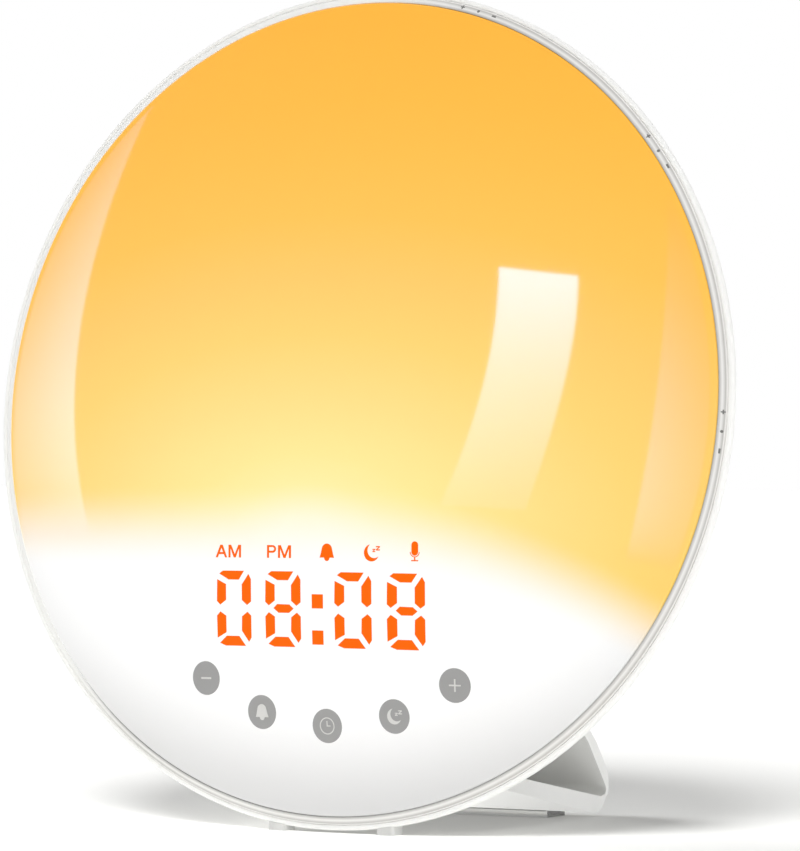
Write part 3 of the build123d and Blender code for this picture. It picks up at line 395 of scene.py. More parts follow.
def mirror_card(name, near_edge, far_edge, tint, brightness, glow_of):
    """Card whose image lies between two curves on the dome: P + L (d - 2 (d.n) n), for sight line d."""
    steps = np.linspace(0, 1, CARD_STEPS)
    along, across = np.meshgrid(steps, steps, indexing="ij")
    near = quadratic(near_edge, steps)[:, None, :]
    far = quadratic(far_edge, steps)[:, None, :]
    u, v = np.moveaxis(near + (far - near) * across[..., None], -1, 0)
    on_dome = on_face(u, v, dome_height(u, v))
    normal = (on_dome - on_face(0, 0, DOME_RISE - SPHERE)) / SPHERE
    sight = on_dome - eye
    sight /= np.linalg.norm(sight, axis=-1, keepdims=True)
    bounced = sight - 2 * np.sum(sight * normal, axis=-1, keepdims=True) * normal
    points = on_dome + CARD_DISTANCE * bounced
    mesh = grid_mesh(name, points, np.arange(CARD_STEPS**2).reshape(CARD_STEPS, CARD_STEPS))
    glow_values = mesh.attributes.new("glow", "FLOAT", "POINT")
    glow_values.data.foreach_set("value", glow_of(along, across).ravel())
    card = add_object(name, mesh)
    material, tree, shader = new_material(
        name + " light", {"Base Color": linear("#000000"), "Emission Color": linear(tint)}
    )
    glow_here = add_node(tree, "ShaderNodeAttribute", attribute_name="glow").outputs["Fac"]
    level = add_node(
        tree, "ShaderNodeMath", {0: glow_here, 1: brightness, 2: SKY_SEEN}, operation="MULTIPLY_ADD"
    )
    tree.links.new(level.outputs[0], shader.inputs["Emission Strength"])
    mesh.materials.append(material)
    for kind in ("camera", "diffuse", "transmission", "volume_scatter", "shadow"):
        setattr(card, "visible_" + kind, False)
    card.light_linking.receiver_collection = front_only
    print(name, "spans", np.ptp(points.reshape(-1, 3), axis=0).round(2), "m")


# %% One softbox and two windows
mirror_card(
    "softbox",
    near_edge=[(38.3, 27.5), (40.3, 4), (28.2, -21.3)],
    far_edge=[(55.4, 25.7), (57.3, 7), (46.8, -22)],
    tint="#BFC4FF",
    brightness=19,
    glow_of=lambda along, across: 0.07 + 0.93 * (1 - along) ** 1.1,
)
mirror_card(
    "left_window",
    near_edge=[(-53, 65.8), (-75.2, 12), (-59.5, -28.3)],
    far_edge=[(-56, 68), (-108, 14), (-94, -30)],
    tint="#BCC6FF",
    brightness=8.5,
    glow_of=lambda along, across: (
        (0.35 + 0.65 * np.minimum(1, 1.5 * along)) * (1 - along**8) * (1 - across)
    ),
)
mirror_card(
    "right_window",
    near_edge=[(72.4, 41.5), (76.6, 5), (67.8, -31.5)],
    far_edge=[(76, 46), (94, 5), (84, -34)],
    tint="#9CA6FF",
    brightness=7.5,
    glow_of=lambda along, across: along**1.2 * (1 - along**8) * (1 - across),
)

# %% [markdown]
# ## The lit front
#
# The real front is one moulding of opal plastic, polished outside, with lamps far behind it, so
# it glows evenly and still mirrors the room. Its light runs from deep amber at the top to pale
# yellow near the display, and the part in front of the display stays white, because the
# display's housing shades it. A ramp by height alone would give flat bands. Here the colour
# follows the distance from a hot spot just over the display, and the edge of the white part
# sinks to the right.

# %% Where the light lies on the front
# Colours of the glow, by the distance from its hot spot in millimetres.
GLOW_SPOT = (-3 * MM, -27 * MM)
GLOW_SQUEEZE = 0.55
GLOW_REACH = 112 * MM
GLOW_COLOURS = {
    3: "#FFF5C4",
    10: "#FFEEA2",
    16: "#FFE995",
    28: "#FFDE84",
    41: "#FDD46E",
    53: "#FECB62",
    66: "#FFC44C",
    79: "#FFBF40",
    91: "#FEBB36",
    110: "#FFB62B",
}
# The white part ends at this height. Right of the start its edge sinks by fall times (u - start)^2.
WHITE_EDGE = -26 * MM
WHITE_EDGE_START = 5 * MM
WHITE_EDGE_FALL = 4.2
WHITE_BLUR = 9 * MM
WHITE_PART = "#FDFDFD"
# The white part has no lamp behind it, so its glow is painted light. It sinks to its least, as painted shade,
# between these distances from a middle.
PAINTED_SHADE_MIDDLE = 1 * MM
PAINTED_SHADE_SQUEEZE = 0.75
PAINTED_SHADE_START = 62 * MM
PAINTED_SHADE_END = 86 * MM
PAINTED_SHADE_LEAST = 0.36
# How much of the colour the plastic reflects, and how much it gives off. The reflected amber is the glow
# painted into the surface's colour, since the opal itself is white.
BODY_SHARE = 0.5
OWN_LIGHT = 0.5
print(len(GLOW_COLOURS), "colours of glow within", round(GLOW_REACH / MM), "mm of the hot spot")

# %% [markdown]
# Object coordinates follow the world's axes, but the face leans. A Mapping node turns and moves
# them first, so that the shader measures on the face, as on_face does for points. The alternative
# is an attribute on the mesh, which is only as fine as the mesh's own points.

# %% Measuring on the face in a shader
def face_place(tree):
    """Object coordinates turned to the leaning face and centred on it: x is u, y is -h and z is v."""
    turn = np.array([[1, 0, 0], [0, math.cos(LEAN), -math.sin(LEAN)], [0, math.sin(LEAN), math.cos(LEAN)]])
    place = add_node(tree, "ShaderNodeTexCoord").outputs["Object"]
    return add_node(
        tree,
        "ShaderNodeMapping",
        {"Vector": place, "Location": list(-turn @ CENTRE), "Rotation": (LEAN, 0, 0)},
    ).outputs["Vector"]


def distance_from(tree, place, middle, squeeze=1.0):
    """Distance on the face from a point, with sideways distances squeezed: |(s (u - u0), v - v0)|."""
    moved = add_node(
        tree,
        "ShaderNodeMapping",
        {"Vector": place, "Location": (-middle[0] * squeeze, 0, -middle[1]), "Scale": (squeeze, 0, 1)},
    )
    return add_node(tree, "ShaderNodeVectorMath", {0: moved.outputs[0]}, operation="LENGTH").outputs["Value"]


def colours_by_distance(tree, distance, reach, colours):
    """Ramp over distances from 0 to a reach in metres, with sRGB colours at distances in millimetres."""
    share = add_node(tree, "ShaderNodeMath", {0: distance, 1: reach}, operation="DIVIDE")
    ramp = add_node(tree, "ShaderNodeValToRGB", {"Fac": share.outputs[0]})
    stops = ramp.color_ramp.elements
    while len(stops) < len(colours):
        stops.new(0.5)  # anywhere: the loop below moves it
    for stop, (millimetres, colour) in zip(stops, colours.items()):
        stop.position = millimetres * MM / reach
        stop.color = linear(colour)
    return ramp.outputs["Color"]


# %% [markdown]
# Now the opal itself: moulded against polished steel, so nearly a mirror, over a body that glows.
# Above the white edge its colour is the amber of the glow, and below it is white. Half of the
# colour is reflected and half is given off, so the front looks lit and still takes some shade.
# The reflected amber is painted glow, and the white part's own light is painted light, which dims
# to painted shade towards the rim.

# %% Opal plastic, lit from behind
def opal_front():
    """Glossy opal acrylic: its colour follows the distance to the hot spot and ends at the white edge, and
    the white part gets painted light that dims to painted shade towards the rim.
    """
    material, tree, shader = new_material("opal acrylic, lit", {"Roughness": 0.035, "IOR": 1.49})
    place = face_place(tree)
    axes = add_node(tree, "ShaderNodeSeparateXYZ", {"Vector": place})
    distance = distance_from(tree, place, GLOW_SPOT, GLOW_SQUEEZE)
    amber = colours_by_distance(tree, distance, GLOW_REACH, GLOW_COLOURS)
    right = add_node(
        tree, "ShaderNodeMath", {0: axes.outputs["X"], 1: WHITE_EDGE_START}, operation="SUBTRACT"
    ).outputs[0]
    right = add_node(tree, "ShaderNodeMath", {0: right, 1: 0.0}, operation="MAXIMUM").outputs[0]
    squared = add_node(tree, "ShaderNodeMath", {0: right, 1: right}, operation="MULTIPLY").outputs[0]
    raised = add_node(
        tree,
        "ShaderNodeMath",
        {0: squared, 1: WHITE_EDGE_FALL, 2: axes.outputs["Z"]},
        operation="MULTIPLY_ADD",
    ).outputs[0]
    lit = add_node(
        tree,
        "ShaderNodeMapRange",
        {"Value": raised, "From Min": WHITE_EDGE - WHITE_BLUR, "From Max": WHITE_EDGE + WHITE_BLUR},
        interpolation_type="SMOOTHSTEP",
    ).outputs["Result"]
    colour = add_node(
        tree, "ShaderNodeMix", {"Factor": lit, "A": linear(WHITE_PART), "B": amber}, data_type="RGBA"
    ).outputs["Result"]
    edge = distance_from(tree, place, (PAINTED_SHADE_MIDDLE, 0), PAINTED_SHADE_SQUEEZE)
    painted_shade = add_node(
        tree,
        "ShaderNodeMapRange",
        {"Value": edge, "From Min": PAINTED_SHADE_START, "From Max": PAINTED_SHADE_END, "To Min": 1.0, "To Max": PAINTED_SHADE_LEAST},
        interpolation_type="SMOOTHSTEP",
    ).outputs["Result"]
    light = add_node(
        tree, "ShaderNodeMix", {"Factor": lit, "A": painted_shade, "B": 1.0}, data_type="FLOAT"
    ).outputs["Result"]
    light = add_node(tree, "ShaderNodeMath", {0: light, 1: OWN_LIGHT}, operation="MULTIPLY").outputs[0]
    body = add_node(
        tree, "ShaderNodeVectorMath", {0: colour, "Scale": BODY_SHARE}, operation="SCALE"
    ).outputs["Vector"]
    tree.links.new(body, shader.inputs["Base Color"])
    tree.links.new(colour, shader.inputs["Emission Color"])
    tree.links.new(light, shader.inputs["Emission Strength"])
    return material


# %% [markdown]
# The front itself is a thin shell, with a short skirt that sits inside the clear ring. A sphere cut
# off with a Boolean would do, but would end in a sharp edge. Turned from a profile, the dome runs
# into the arc of its edge without a change of slope, so what it mirrors has no crease there.

# %% The front as a turned shell
DOME_WALL = 2 * MM
DOME_EDGE = 0.7 * MM
DOME_RINGS = 72
EDGE_STEPS = 10

edge_turn = math.acos(DOME_RADIUS / SPHERE)
edge_start = DOME_RADIUS - DOME_EDGE + DOME_EDGE * math.cos(edge_turn)
edge_middle = (DOME_RADIUS - DOME_EDGE, dome_height(edge_start, 0) - DOME_EDGE * math.sin(edge_turn))
rounding = arc(edge_middle, DOME_EDGE, math.degrees(edge_turn), 0, EDGE_STEPS)[1:]
crown = np.linspace(0, edge_start, DOME_RINGS)
crown = np.stack([crown, dome_height(crown, 0)], axis=-1)
skirt = [(DOME_RADIUS, -SKIRT), (DOME_RADIUS - DOME_WALL, -SKIRT)]
inside = np.linspace(DOME_RADIUS - DOME_WALL, 0, DOME_RINGS // 2)
inside = np.stack([inside, dome_height(inside, 0) - DOME_WALL], axis=-1)
front_mesh = turned("lit_front", [*crown, *rounding, *skirt, *inside])
diffuser = new_piece("lit_front", front_mesh, opal_front(), "housing")
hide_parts("front_diffuser", "blank_segments")
front_only.objects.link(diffuser)

# %% [markdown]
# ## Digits, status signs and touch marks
#
# On the real clock the numbers shine through the opal front, and the touch marks are printed on
# its inside. Both look like sharp flat shapes on the dome. They could be a texture, but then
# their edges would blur close up. Each one is a thin closed solid instead that follows the dome
# and stands a few hundredths of a millimetre out of it.

# %% Shapes that follow the dome
SUNK = 0.4 * MM


def relief(name, outlines, high, low=-SUNK, surface=dome_height):
    """Thin solids on a surface: each outline (u, v) is closed between its height plus low and plus high."""
    corners, faces = [], []
    for outline in outlines:
        u, v = np.asarray(outline, dtype=float).T
        height = surface(u, v)
        upper = len(corners) + np.arange(len(u))
        lower = upper + len(u)
        corners += on_face(u, v, height + high).tolist() + on_face(u, v, height + low).tolist()
        faces += [upper.tolist(), lower[::-1].tolist()]
        faces += np.stack([upper, lower, np.roll(lower, -1), np.roll(upper, -1)], axis=-1).tolist()
    mesh = bpy.data.meshes.new(name)
    mesh.from_pydata(corners, [], faces)
    work = bmesh.new()
    work.from_mesh(mesh)
    bmesh.ops.triangulate(work, faces=[face for face in work.faces if len(face.verts) > 4])
    bmesh.ops.recalc_face_normals(work, faces=work.faces)
    work.to_mesh(mesh)
    work.free()
    return mesh


def stroke(points, width):
    """Outline of a pen stroke: its line moved by half a width each way, along each point's mean normal."""
    line = np.asarray(points, dtype=float)
    runs = np.diff(line, axis=0)
    runs /= np.linalg.norm(runs, axis=1)[:, None]
    normals = np.stack([-runs[:, 1], runs[:, 0]], axis=-1)
    before = np.vstack([normals[:1], normals])
    after = np.vstack([normals, normals[-1:]])
    mitre = (before + after) / (1 + np.sum(before * after, axis=1))[:, None]
    return np.vstack([line + mitre * width / 2, (line - mitre * width / 2)[::-1]])


def placed(outlines, middle, size=MM):
    """Outlines drawn in millimetres, scaled, by one factor or by one each way, and moved to their place."""
    return [np.asarray(outline) * np.asarray(size) + np.asarray(middle) for outline in outlines]


# %% [markdown]
# A display digit has seven bars, and a nought is an eight without the middle one. A text object
# would be quicker, but these bars have slanted ends of their own. Their corners are given in
# millimetres round the digit's middle. Where the digits sit follows from the model's own.

# %% Seven-bar digits
DIGIT_BARS = {
    "top": [(-3.7, 7.13), (-2.78, 7.75), (2.6, 7.75), (1.3, 5.92), (-1.3, 5.92)],
    "upper_right": [(3.7, 7.13), (4.35, 6.04), (4.35, 1.43), (3.33, 0.7), (2.04, 1.71), (2.04, 4.92)],
    "upper_left": [(-4.25, 5.96), (-1.99, 4.96), (-1.99, 1.71), (-3.47, 0.7), (-4.35, 1.43)],
    "middle": [(-2.3, 0.15), (-1.4, 1.0), (1.6, 0.94), (2.64, 0.1), (1.5, -0.78), (-1.06, -0.78)],
    "lower_right": [(3.43, -0.7), (4.35, -1.5), (4.35, -6.0), (3.7, -6.89), (1.94, -4.6), (2.04, -1.67)],
    "lower_left": [(-3.47, -0.7), (-1.99, -1.59), (-1.99, -5.0), (-4.3, -6.16), (-4.35, -1.59)],
    "bottom": [(-3.7, -7.2), (-1.94, -5.72), (1.25, -5.72), (2.9, -7.75), (-2.2, -7.75)],
}
NOUGHT = [bar for name, bar in DIGIT_BARS.items() if name != "middle"]
EIGHT = list(DIGIT_BARS.values())
DIGIT_HALF_WIDTH = 4.35 * MM
DIGIT_INNER = 8.4 * MM
COLON_SIZE = (2.7, 2.9)
COLON_SPREAD = 3.7
COLON_DROP = 2.0
DIGIT_DROP = 0.3 * MM
SIGN_PROUD = 0.03 * MM

digits_low, digits_high = face_box("display_digits")
digit_v = (digits_low[1] + digits_high[1]) / 2 - DIGIT_DROP
digit_outer = digits_high[0] - DIGIT_HALF_WIDTH
half_colon = np.array([(-1, -1), (1, -1), (1, 1), (-1, 1)]) * np.array(COLON_SIZE) / 2
colon = [half_colon + (0, COLON_SPREAD - COLON_DROP), half_colon - (0, COLON_SPREAD + COLON_DROP)]
time_shapes = placed(colon, (0, digit_v))
for u, digit in zip((-digit_outer, -DIGIT_INNER, DIGIT_INNER, digit_outer), (NOUGHT, EIGHT, NOUGHT, EIGHT)):
    time_shapes += placed(digit, (u, digit_v))
print("digits' middle at v =", round(digit_v / MM, 2), "mm, outer ones at", round(digit_outer / MM, 2))

# %% [markdown]
# Above the digits stand five small signs: morning, afternoon, a bell, a moon and a microphone. The
# bell and the moon come again in the touch marks, with a minus, a clock and a plus. Each sign is
# drawn once, from arcs and pen strokes, in millimetres round its own middle, and then scaled and
# moved to its place.

# %% Drawing the signs
def crescent(radius, bite_radius, bite_middle):
    """A moon: the outer circle's arc outside the bite, closed by the bite's arc inside the outer circle."""
    reach = math.hypot(*bite_middle)
    toward = math.degrees(math.atan2(bite_middle[1], bite_middle[0]))
    outer = math.degrees(math.acos((reach**2 + radius**2 - bite_radius**2) / (2 * reach * radius)))
    inner = math.degrees(math.acos((reach**2 + bite_radius**2 - radius**2) / (2 * reach * bite_radius)))
    back = arc((0, 0), radius, toward + outer, toward + 360 - outer, 24)
    bite = arc(bite_middle, bite_radius, toward + 180 + inner, toward + 180 - inner, 18)
    return np.vstack([back, bite[1:-1]])


def letter_z(middle, half, pen):
    """A small Z: two bars of pen height and a slanting one, as half an outline and its half turn."""
    slant = 1.4 * pen
    top = [(-half, half), (half, half), (half, half - pen)]
    outline = np.array([*top, (slant - half, pen - half), (half, pen - half), (half, -half)])
    return np.vstack([outline, -outline]) + middle


def mirrored(outline):
    """The outline with its left and right exchanged, its points in the other order."""
    return [(-x, y) for x, y in reversed(outline)]


def plus_sign(half, pen):
    """A level stroke with an upright one above it and one below it, which end at the level one's edges."""
    edge = pen / 2
    return [
        stroke([(-half, 0), (half, 0)], pen),
        stroke([(0, edge), (0, half)], pen),
        stroke([(0, -half), (0, -edge)], pen),
    ]


LETTER_A_LEG = [(0, 1.25), (-0.25, 1.25), (-1.23, -1.25), (-0.78, -1.25), (0, 0.66)]
LETTER_A_BAR = [(-0.5, -0.6), (0.5, -0.6), (0.35, -0.2), (-0.35, -0.2)]
LETTER_A = [LETTER_A_LEG, mirrored(LETTER_A_LEG), LETTER_A_BAR]
LETTER_M_LEG = [(-0.76, 1.25), (-1.33, 1.25), (-1.33, -1.25), (-0.9, -1.25), (-0.9, 0.56), (-0.2, -1.25)]
LETTER_M = [[(0, -0.6), *LETTER_M_LEG, *mirrored(LETTER_M_LEG)]]
LETTER_P_STEM = [(-0.97, -1.25), (-0.55, -1.25), (-0.55, 1.25), (-0.97, 1.25)]
LETTER_P_OUTSIDE = [(-0.55, 1.25), arc((0.15, 0.5), 0.75, 90, -90), (-0.55, -0.25)]
LETTER_P_INSIDE = [(-0.55, 0.14), arc((0.15, 0.5), 0.36, -90, 90), (-0.55, 0.86)]
LETTER_P = [LETTER_P_STEM, np.vstack([*LETTER_P_OUTSIDE, *LETTER_P_INSIDE])]
BELL_CROWN = [(1.45, -0.3), arc((0, 0.55), 1.22, 10, 170), (-1.45, -0.3)]
BELL_CLAPPER = [(-0.75, -1.1), arc((0, -1.2), 0.62, 185, 355, 8), (0.75, -1.1)]
BELL = [np.vstack([(1.72, -1.15), *BELL_CROWN, (-1.72, -1.15), *BELL_CLAPPER])]
MOON = [
    crescent(1.75, 1.55, (0.62, 0.5)),
    letter_z((0.55, 0.5), 0.33, 0.2),
    letter_z((1.5, 0.95), 0.45, 0.24),
]
MICROPHONE = [
    np.vstack([arc((0, 1.75), 0.76, 0, 180, 10), arc((0, 0.35), 0.76, 180, 360, 10)]),
    np.vstack([arc((0, 0.35), 1.1, 180, 360, 16), arc((0, 0.35), 0.92, 360, 180, 16)]),
    [(-0.16, -0.72), (0.16, -0.72), (0.16, -1.3), (-0.16, -1.3)],
    [(-0.8, -1.3), (0.8, -1.3), (0.8, -1.54), (-0.8, -1.54)],
]
CLOCK = [
    stroke(arc((0, 0), 1.78, -90, 90, 24), 0.24),
    stroke(arc((0, 0), 1.78, 90, 270, 24), 0.24),
    stroke([(0, 1.1), (0, 0), (0.85, 0)], 0.26),
]
MINUS = [stroke([(-1.4, 0), (1.4, 0)], 0.42)]
PLUS = plus_sign(1.4, 0.34)
print("signs:", len(BELL + MOON + MICROPHONE + CLOCK + MINUS + PLUS), "outlines, letters not counted")

# %% Places of the signs and touch marks
SIGN_RISE = 11.8 * MM
SIGN_PLACES = (-22.1, -9.5, 2.3, 12.8, 22.7)
LETTER_SIZE = (1.2, 1.05)
PAD_DIAMETER = 7.0 * MM
PAD_STEPS = 64
PAD_ARC = 53.2 * MM
PAD_ANGLES = (-34.0, -17.3, 0.0, 17.3, 34.0)
PAD_SHIFT = 1.5 * MM
PAD_DROP = 0.9 * MM
PAD_PROUD = 0.03 * MM
MARK_PROUD = 0.06 * MM
MARK_SIZE = 0.92 * MM

before_noon = [*placed(LETTER_A, (-1.7, 0), LETTER_SIZE), *placed(LETTER_M, (1.7, 0), LETTER_SIZE)]
after_noon = [*placed(LETTER_P, (-1.6, 0), LETTER_SIZE), *placed(LETTER_M, (1.55, 0), LETTER_SIZE)]
sign_shapes = []
for place, sign in zip(SIGN_PLACES, (before_noon, after_noon, BELL, MOON, MICROPHONE)):
    sign_shapes += placed(sign, (place * MM, digit_v + SIGN_RISE))

pads_low, _ = face_box("touch_keys")
arc_middle = pads_low[1] + PAD_DIAMETER / 2 - PAD_DROP + PAD_ARC
pad_turns = np.radians(PAD_ANGLES)
pad_u = PAD_SHIFT + PAD_ARC * np.sin(pad_turns)
pad_places = np.stack([pad_u, arc_middle - PAD_ARC * np.cos(pad_turns)], axis=-1)
pad_shapes = [arc(place, PAD_DIAMETER / 2, 0, 360, PAD_STEPS + 1)[:-1] for place in pad_places]
mark_shapes = []
for place, mark in zip(pad_places, (MINUS, BELL, CLOCK, MOON, PLUS)):
    mark_shapes += placed(mark, place, MARK_SIZE)
print("touch pads at, mm:", (pad_places / MM).round(1).tolist())

# %% [markdown]
# The digits are light, so their material gives off a little of its own. The pads are grey ink,
# which is matt beside the polished front, and the marks on them are a paler one. Ink could be a
# flat colour, but a fine grain keeps it from looking like film.

# %% Display and print materials
INK_GRAIN = 0.3 * MM
INK_DEPTH = 0.004 * MM


def ink(name, colour, roughness):
    """Printed ink: one matt colour, with the fine grain of the mesh or the pad that laid it on."""
    parts = new_material(name, {"Base Color": linear(colour), "Roughness": roughness})
    return grain(parts, INK_GRAIN, INK_DEPTH)


def on_front(name, shapes, proud, material):
    """A piece of the housing made of shapes that stand out of the dome by proud."""
    return new_piece(name, relief(name, shapes, proud), material, "housing")


lit_orange, _, _ = new_material(
    "opal acrylic, lit orange",
    {
        "Base Color": linear("#CC5200"),
        "Emission Color": linear("#FF6000"),
        "Emission Strength": 0.45,
        "Roughness": 0.3,
        "Specular IOR Level": 0.1,
    },
)
grey_ink = ink("screen-printed grey ink", "#989898", 0.45)
pale_ink = ink("screen-printed pale ink", "#D0D0CE", 0.45)

time_piece = on_front("time_digits", time_shapes, SIGN_PROUD, lit_orange)
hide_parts("display_digits")
on_front("status_signs", sign_shapes, SIGN_PROUD, lit_orange)
pads = on_front("touch_pads", pad_shapes, PAD_PROUD, grey_ink)
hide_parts("touch_keys")
on_front("touch_marks", mark_shapes, MARK_PROUD, pale_ink)

# %% [markdown]
# ## The clear ring
#
# Round the dome lies a ring of clear acrylic with a bevelled front, which shows as a grey band
# between two bright lines. The grey comes from inside, where the bevel and the walls mirror each
# other. Real transmission could find it, with many bounces and much noise, so here it is painted:
# painted reflections and painted shade, as a colour that follows the distance from the dome.
# Towards the upper left all that the ring can mirror is white, and there the painted bands fade
# out. Turning the ring fresh gives it many more facets than the model's, and small polished
# roundings that catch the bright lines.

# %% Clear ring
RING_DEPTH = 3.4 * MM
BEVEL_START = 0.35 * MM
BEVEL_DROP = 0.8 * MM
RING_ROUND = 0.15 * MM
RING_INNER_GAP = 0.04 * MM
RING_OUTER_REACH = 0.08 * MM
# Painted reflections and painted shade inside the clear ring, by distance from the dome in millimetres.
RING_PAINTED_REFLECTIONS = {
    0.0: "#90908E",
    0.15: "#A6A6A3",
    0.4: "#CBCAC8",
    0.75: "#EBEAE8",
    1.0: "#DDDCDA",
    1.35: "#BBB9B6",
    1.6: "#F2F1EF",
}
# Where the ring can mirror only white, the painted bands fade to a painted white reflection.
RING_SHADED_SIDE = (0.906, 0.0, -0.423)
RING_FADE = (-42 * MM, -12 * MM)
RING_PAINTED_WHITE = "#F2F2F0"

_, ring_high = face_box("clear_ring")
ring_outer = ring_high[0] + RING_OUTER_REACH
ring_inner = DOME_RADIUS + RING_INNER_GAP


def bevelled_acrylic():
    """Clear acrylic on white: painted reflections and shade in bands round the dome, which fade where p .
    RING_SHADED_SIDE is below zero.
    """
    material, tree, shader = new_material("clear acrylic, painted reflections", {"Roughness": 0.05, "IOR": 1.49})
    place = face_place(tree)
    radius = distance_from(tree, place, (0, 0))
    inner = add_node(tree, "ShaderNodeMath", {0: radius, 1: ring_inner}, operation="SUBTRACT").outputs[0]
    painted_bands = colours_by_distance(tree, inner, ring_outer - ring_inner, RING_PAINTED_REFLECTIONS)
    side = add_node(tree, "ShaderNodeVectorMath", {0: place, 1: RING_SHADED_SIDE}, operation="DOT_PRODUCT")
    shaded = add_node(
        tree,
        "ShaderNodeMapRange",
        {"Value": side.outputs["Value"], "From Min": RING_FADE[0], "From Max": RING_FADE[1]},
        interpolation_type="SMOOTHSTEP",
    ).outputs["Result"]
    colour = add_node(
        tree, "ShaderNodeMix", {"Factor": shaded, "A": linear(RING_PAINTED_WHITE), "B": painted_bands}, data_type="RGBA"
    ).outputs["Result"]
    tree.links.new(colour, shader.inputs["Base Color"])
    return material


ring_profile = [
    (ring_inner, -BEVEL_START - RING_ROUND),
    (ring_inner + RING_ROUND / 3, -BEVEL_START - RING_ROUND / 3),
    (ring_inner + RING_ROUND, -BEVEL_START),
    (ring_outer - RING_ROUND, -BEVEL_START - BEVEL_DROP),
    (ring_outer - RING_ROUND / 3, -BEVEL_START - BEVEL_DROP - RING_ROUND / 3),
    (ring_outer, -BEVEL_START - BEVEL_DROP - RING_ROUND),
    (ring_outer, -RING_DEPTH),
    (ring_inner, -RING_DEPTH),
]
ring_mesh = turned("bevel_ring", ring_profile)
ring = new_piece("bevel_ring", ring_mesh, bevelled_acrylic(), "housing")
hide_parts("clear_ring")

# %% [markdown]
# Each of the three rocker keys in the clock's side has its signs on the ring in front of it: plus,
# dot and minus. They are printed, so they are flat shapes on the bevel, a few hundredths of a
# millimetre thick.

# %% Marks of the side keys
# Angles and steps are in degrees round the clock's middle, and the signs are in millimetres.
KEY_ANGLES = (72.7, 36.9, -3.5)
KEY_MARK_STEP = 2.6
KEY_MARK_RADIUS = 86.3 * MM
KEY_MARK_SUNK = 0.1 * MM
KEY_PLUS = plus_sign(0.45, 0.26)
KEY_DOT = [arc((0, 0), 0.3, 0, 330, 12)]
KEY_MINUS = [stroke([(-0.5, 0), (0.5, 0)], 0.36)]


def bevel_height(u, v):
    """Height of the ring's front: it falls in a straight line from its inner to its outer rounding."""
    span = ring_outer - ring_inner - 2 * RING_ROUND
    return -BEVEL_START - BEVEL_DROP * (np.hypot(u, v) - ring_inner - RING_ROUND) / span


key_marks = []
for key_angle in KEY_ANGLES:
    for step, mark in zip((1, 0, -1), (KEY_PLUS, KEY_DOT, KEY_MINUS)):
        angle = math.radians(key_angle + step * KEY_MARK_STEP)
        out = np.array([math.cos(angle), math.sin(angle)])
        axes = np.stack([(-math.sin(angle), math.cos(angle)), out])
        key_marks += [KEY_MARK_RADIUS * out + MM * np.asarray(part) @ axes for part in mark]
key_signs = relief("key_signs", key_marks, SIGN_PROUD, -KEY_MARK_SUNK, bevel_height)
dark_ink = ink("pad-printed dark grey ink", "#6E6E6C", 0.5)
new_piece("key_signs", key_signs, dark_ink, "housing")

# %% [markdown]
# ## White housing, keys and stand
#
# The housing, keys, stand and battery door are ABS, moulded in a tool whose inside was etched a
# little, so the plastic is satin and not glassy. Etched grain is finer than a picture can show,
# so it is drawn 0.4 mm wide. The model's meshes are loose triangles. A copy of each is joined up
# here and its flat faces are made whole. The shell's rim is round in the model already. The
# other pieces get the small rounding that every moulding has, because sharp edges never catch
# the light.

# %% White ABS and the copies
ABS_GRAIN = 0.4 * MM
ABS_SPECKLE = 0.04
ABS_ROUND = 0.35 * MM
ROUND_STEPS = 3
JOIN_DISTANCE = 0.002 * MM
FLAT_ANGLE = math.radians(0.4)


def white_abs(name, roughness, depth):
    """Satin white ABS: moulded against etched steel, which gives it a wide and very shallow grain."""
    parts = new_material(name, {"Base Color": linear("#F3F3F1"), "Roughness": roughness, "IOR": 1.54})
    return grain(parts, ABS_GRAIN, depth, speckle=ABS_SPECKLE)


shell_white = white_abs("white ABS, satin", 0.38, 0.0012 * MM)
stand_white = white_abs("white ABS, smooth", 0.3, 0.001 * MM)
key_white = white_abs("white ABS, keys", 0.3, 0.001 * MM)


def joined_copy(name, node, body, material, rounding=0.0):
    """A copy of a model node with its triangles joined, its flat faces whole and its edges rounded."""
    mesh = nodes[node].data.copy()
    mesh.name = name
    work = bmesh.new()
    work.from_mesh(mesh)
    bmesh.ops.remove_doubles(work, verts=work.verts, dist=JOIN_DISTANCE)
    bmesh.ops.dissolve_limit(
        work, angle_limit=FLAT_ANGLE, verts=work.verts, edges=work.edges, use_dissolve_boundaries=False
    )
    work.to_mesh(mesh)
    work.free()
    smooth(mesh)
    piece = new_piece(name, mesh, material, body)
    if rounding:
        bevel = piece.modifiers.new("rounding", "BEVEL")
        bevel.width = rounding
        bevel.segments = ROUND_STEPS
        bevel.limit_method = "ANGLE"
        bevel.angle_limit = SMOOTH_ANGLE
    flats = piece.modifiers.new("flats stay flat", "WEIGHTED_NORMAL")
    flats.keep_sharp = True
    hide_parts(node)


joined_copy("shell", "rear_shell", "housing", shell_white)
joined_copy("bent_stand", "stand", "stand", stand_white, ABS_ROUND)
for key in ("side_key_top", "side_key_middle", "side_key_lower"):
    joined_copy(key + "_cap", key, key, key_white, ABS_ROUND / 2)
joined_copy("cell_door", "battery_door", "battery_door", key_white, ABS_ROUND / 3)

# %% [markdown]
# ## Everything else
#
# The other nodes keep their shape and only need their finish. Each material below is named for
# what the real part is made of and how its surface came about. The real grain is mostly finer
# than a picture can show, so it is drawn a few tenths of a millimetre wide.

# %% Finishes of the small parts
MILKY = {"Transmission Weight": 0.4, "IOR": 1.41}
CLEAR = {"Transmission Weight": 0.97, "IOR": 1.41}
METAL = {"Metallic": 1.0}

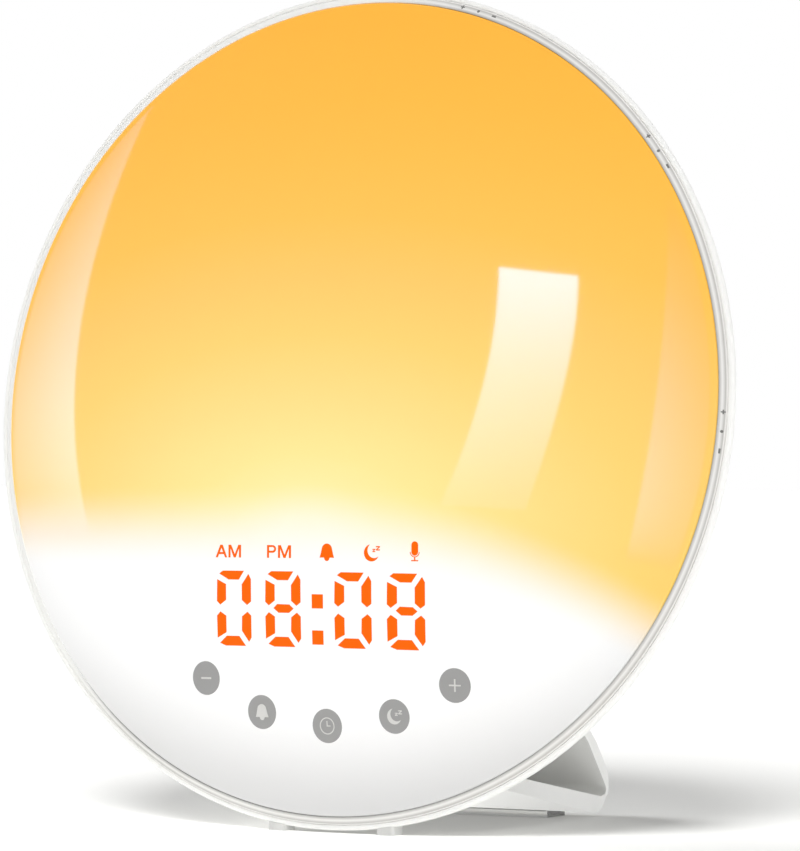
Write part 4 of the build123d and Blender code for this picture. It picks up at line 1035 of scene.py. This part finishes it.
# Each finish has its nodes, colour, roughness, grain width and depth in mm, and further inputs.
FINISHES = {
    # Soft and cloudy: some light goes in and comes out blurred.
    "silicone bumper, milky": (["ring_feet"], "#F6F6F4", 0.3, 0.5, 0.004, MILKY),
    # Nearly all of the light goes through, so the strip takes its colour from what is behind it.
    "silicone strip, clear": (["stand_foot"], "#FBFBF9", 0.15, 0.5, 0.002, CLEAR),
    # Matt and grey, so that it is found on the white back.
    "moulded grey ABS": (["reset_button"], "#8C8C8C", 0.45, 0.3, 0.004, {}),
    # Black all through, with a dull sheen.
    "nylon, moulded black": (
        ["display_module", "board_parts", "reset_switch", "power_jack", "key_switches"],
        "#141414", 0.5, 0.3, 0.004, {},
    ),
    # The resist is a thin lacquer, which shines softly over the weave of the board.
    "fibreglass board, green resist": (
        ["display_board", "touch_board", "main_board", "key_boards"],
        "#0E4A26", 0.35, 0.6, 0.003, {},
    ),
    "fibreglass board, white resist": (["led_board"], "#ECECE6", 0.4, 0.6, 0.003, {}),
    # The yellow of the phosphor, in clear soft silicone.
    "phosphor in silicone": (["sunrise_leds"], "#F2DE6A", 0.3, 0.2, 0.002, {}),
    # Matt white, which spreads the light and mirrors no lamp.
    "polystyrene reflector, white": (["light_tray", "display_hood"], "#F4F4F2", 0.6, 0.3, 0.004, {}),
    # Open pores: dark, with no sheen at all.
    "polyether foam": (["touch_foam", "speaker_gasket"], "#3A3A3A", 0.95, 0.5, 0.05, {}),
    # Bluish grey metal with a dull shine.
    "steel, zinc plated": (
        ["touch_screws", "lamp_screws", "board_screws", "speaker_screws", "housing_screws", "speaker_basket"],
        "#B9BBBC", 0.35, 0.2, 0.002, METAL,
    ),
    # Fired like a tile, so it is dark, hard and finely grained.
    "ferrite, sintered": (["speaker_magnet"], "#2A2A2C", 0.55, 0.15, 0.01, {}),
    # Felted fibres: matt and a little rough.
    "pressed paper, black": (["speaker_cone"], "#1C1C1C", 0.9, 0.4, 0.02, {}),
    # Warmer and brighter than the screws.
    "steel, nickel plated": (["coin_cell"], "#C6C4BE", 0.25, 0.3, 0.001, METAL),
}
for name, (members, colour, roughness, width, depth, more) in FINISHES.items():
    parts = new_material(name, {"Base Color": linear(colour), "Roughness": roughness, **more})
    material = grain(parts, width * MM, depth * MM)
    for member in members:
        nodes[member].data.materials.clear()
        nodes[member].data.materials.append(material)
    print(name, "on", ", ".join(members))
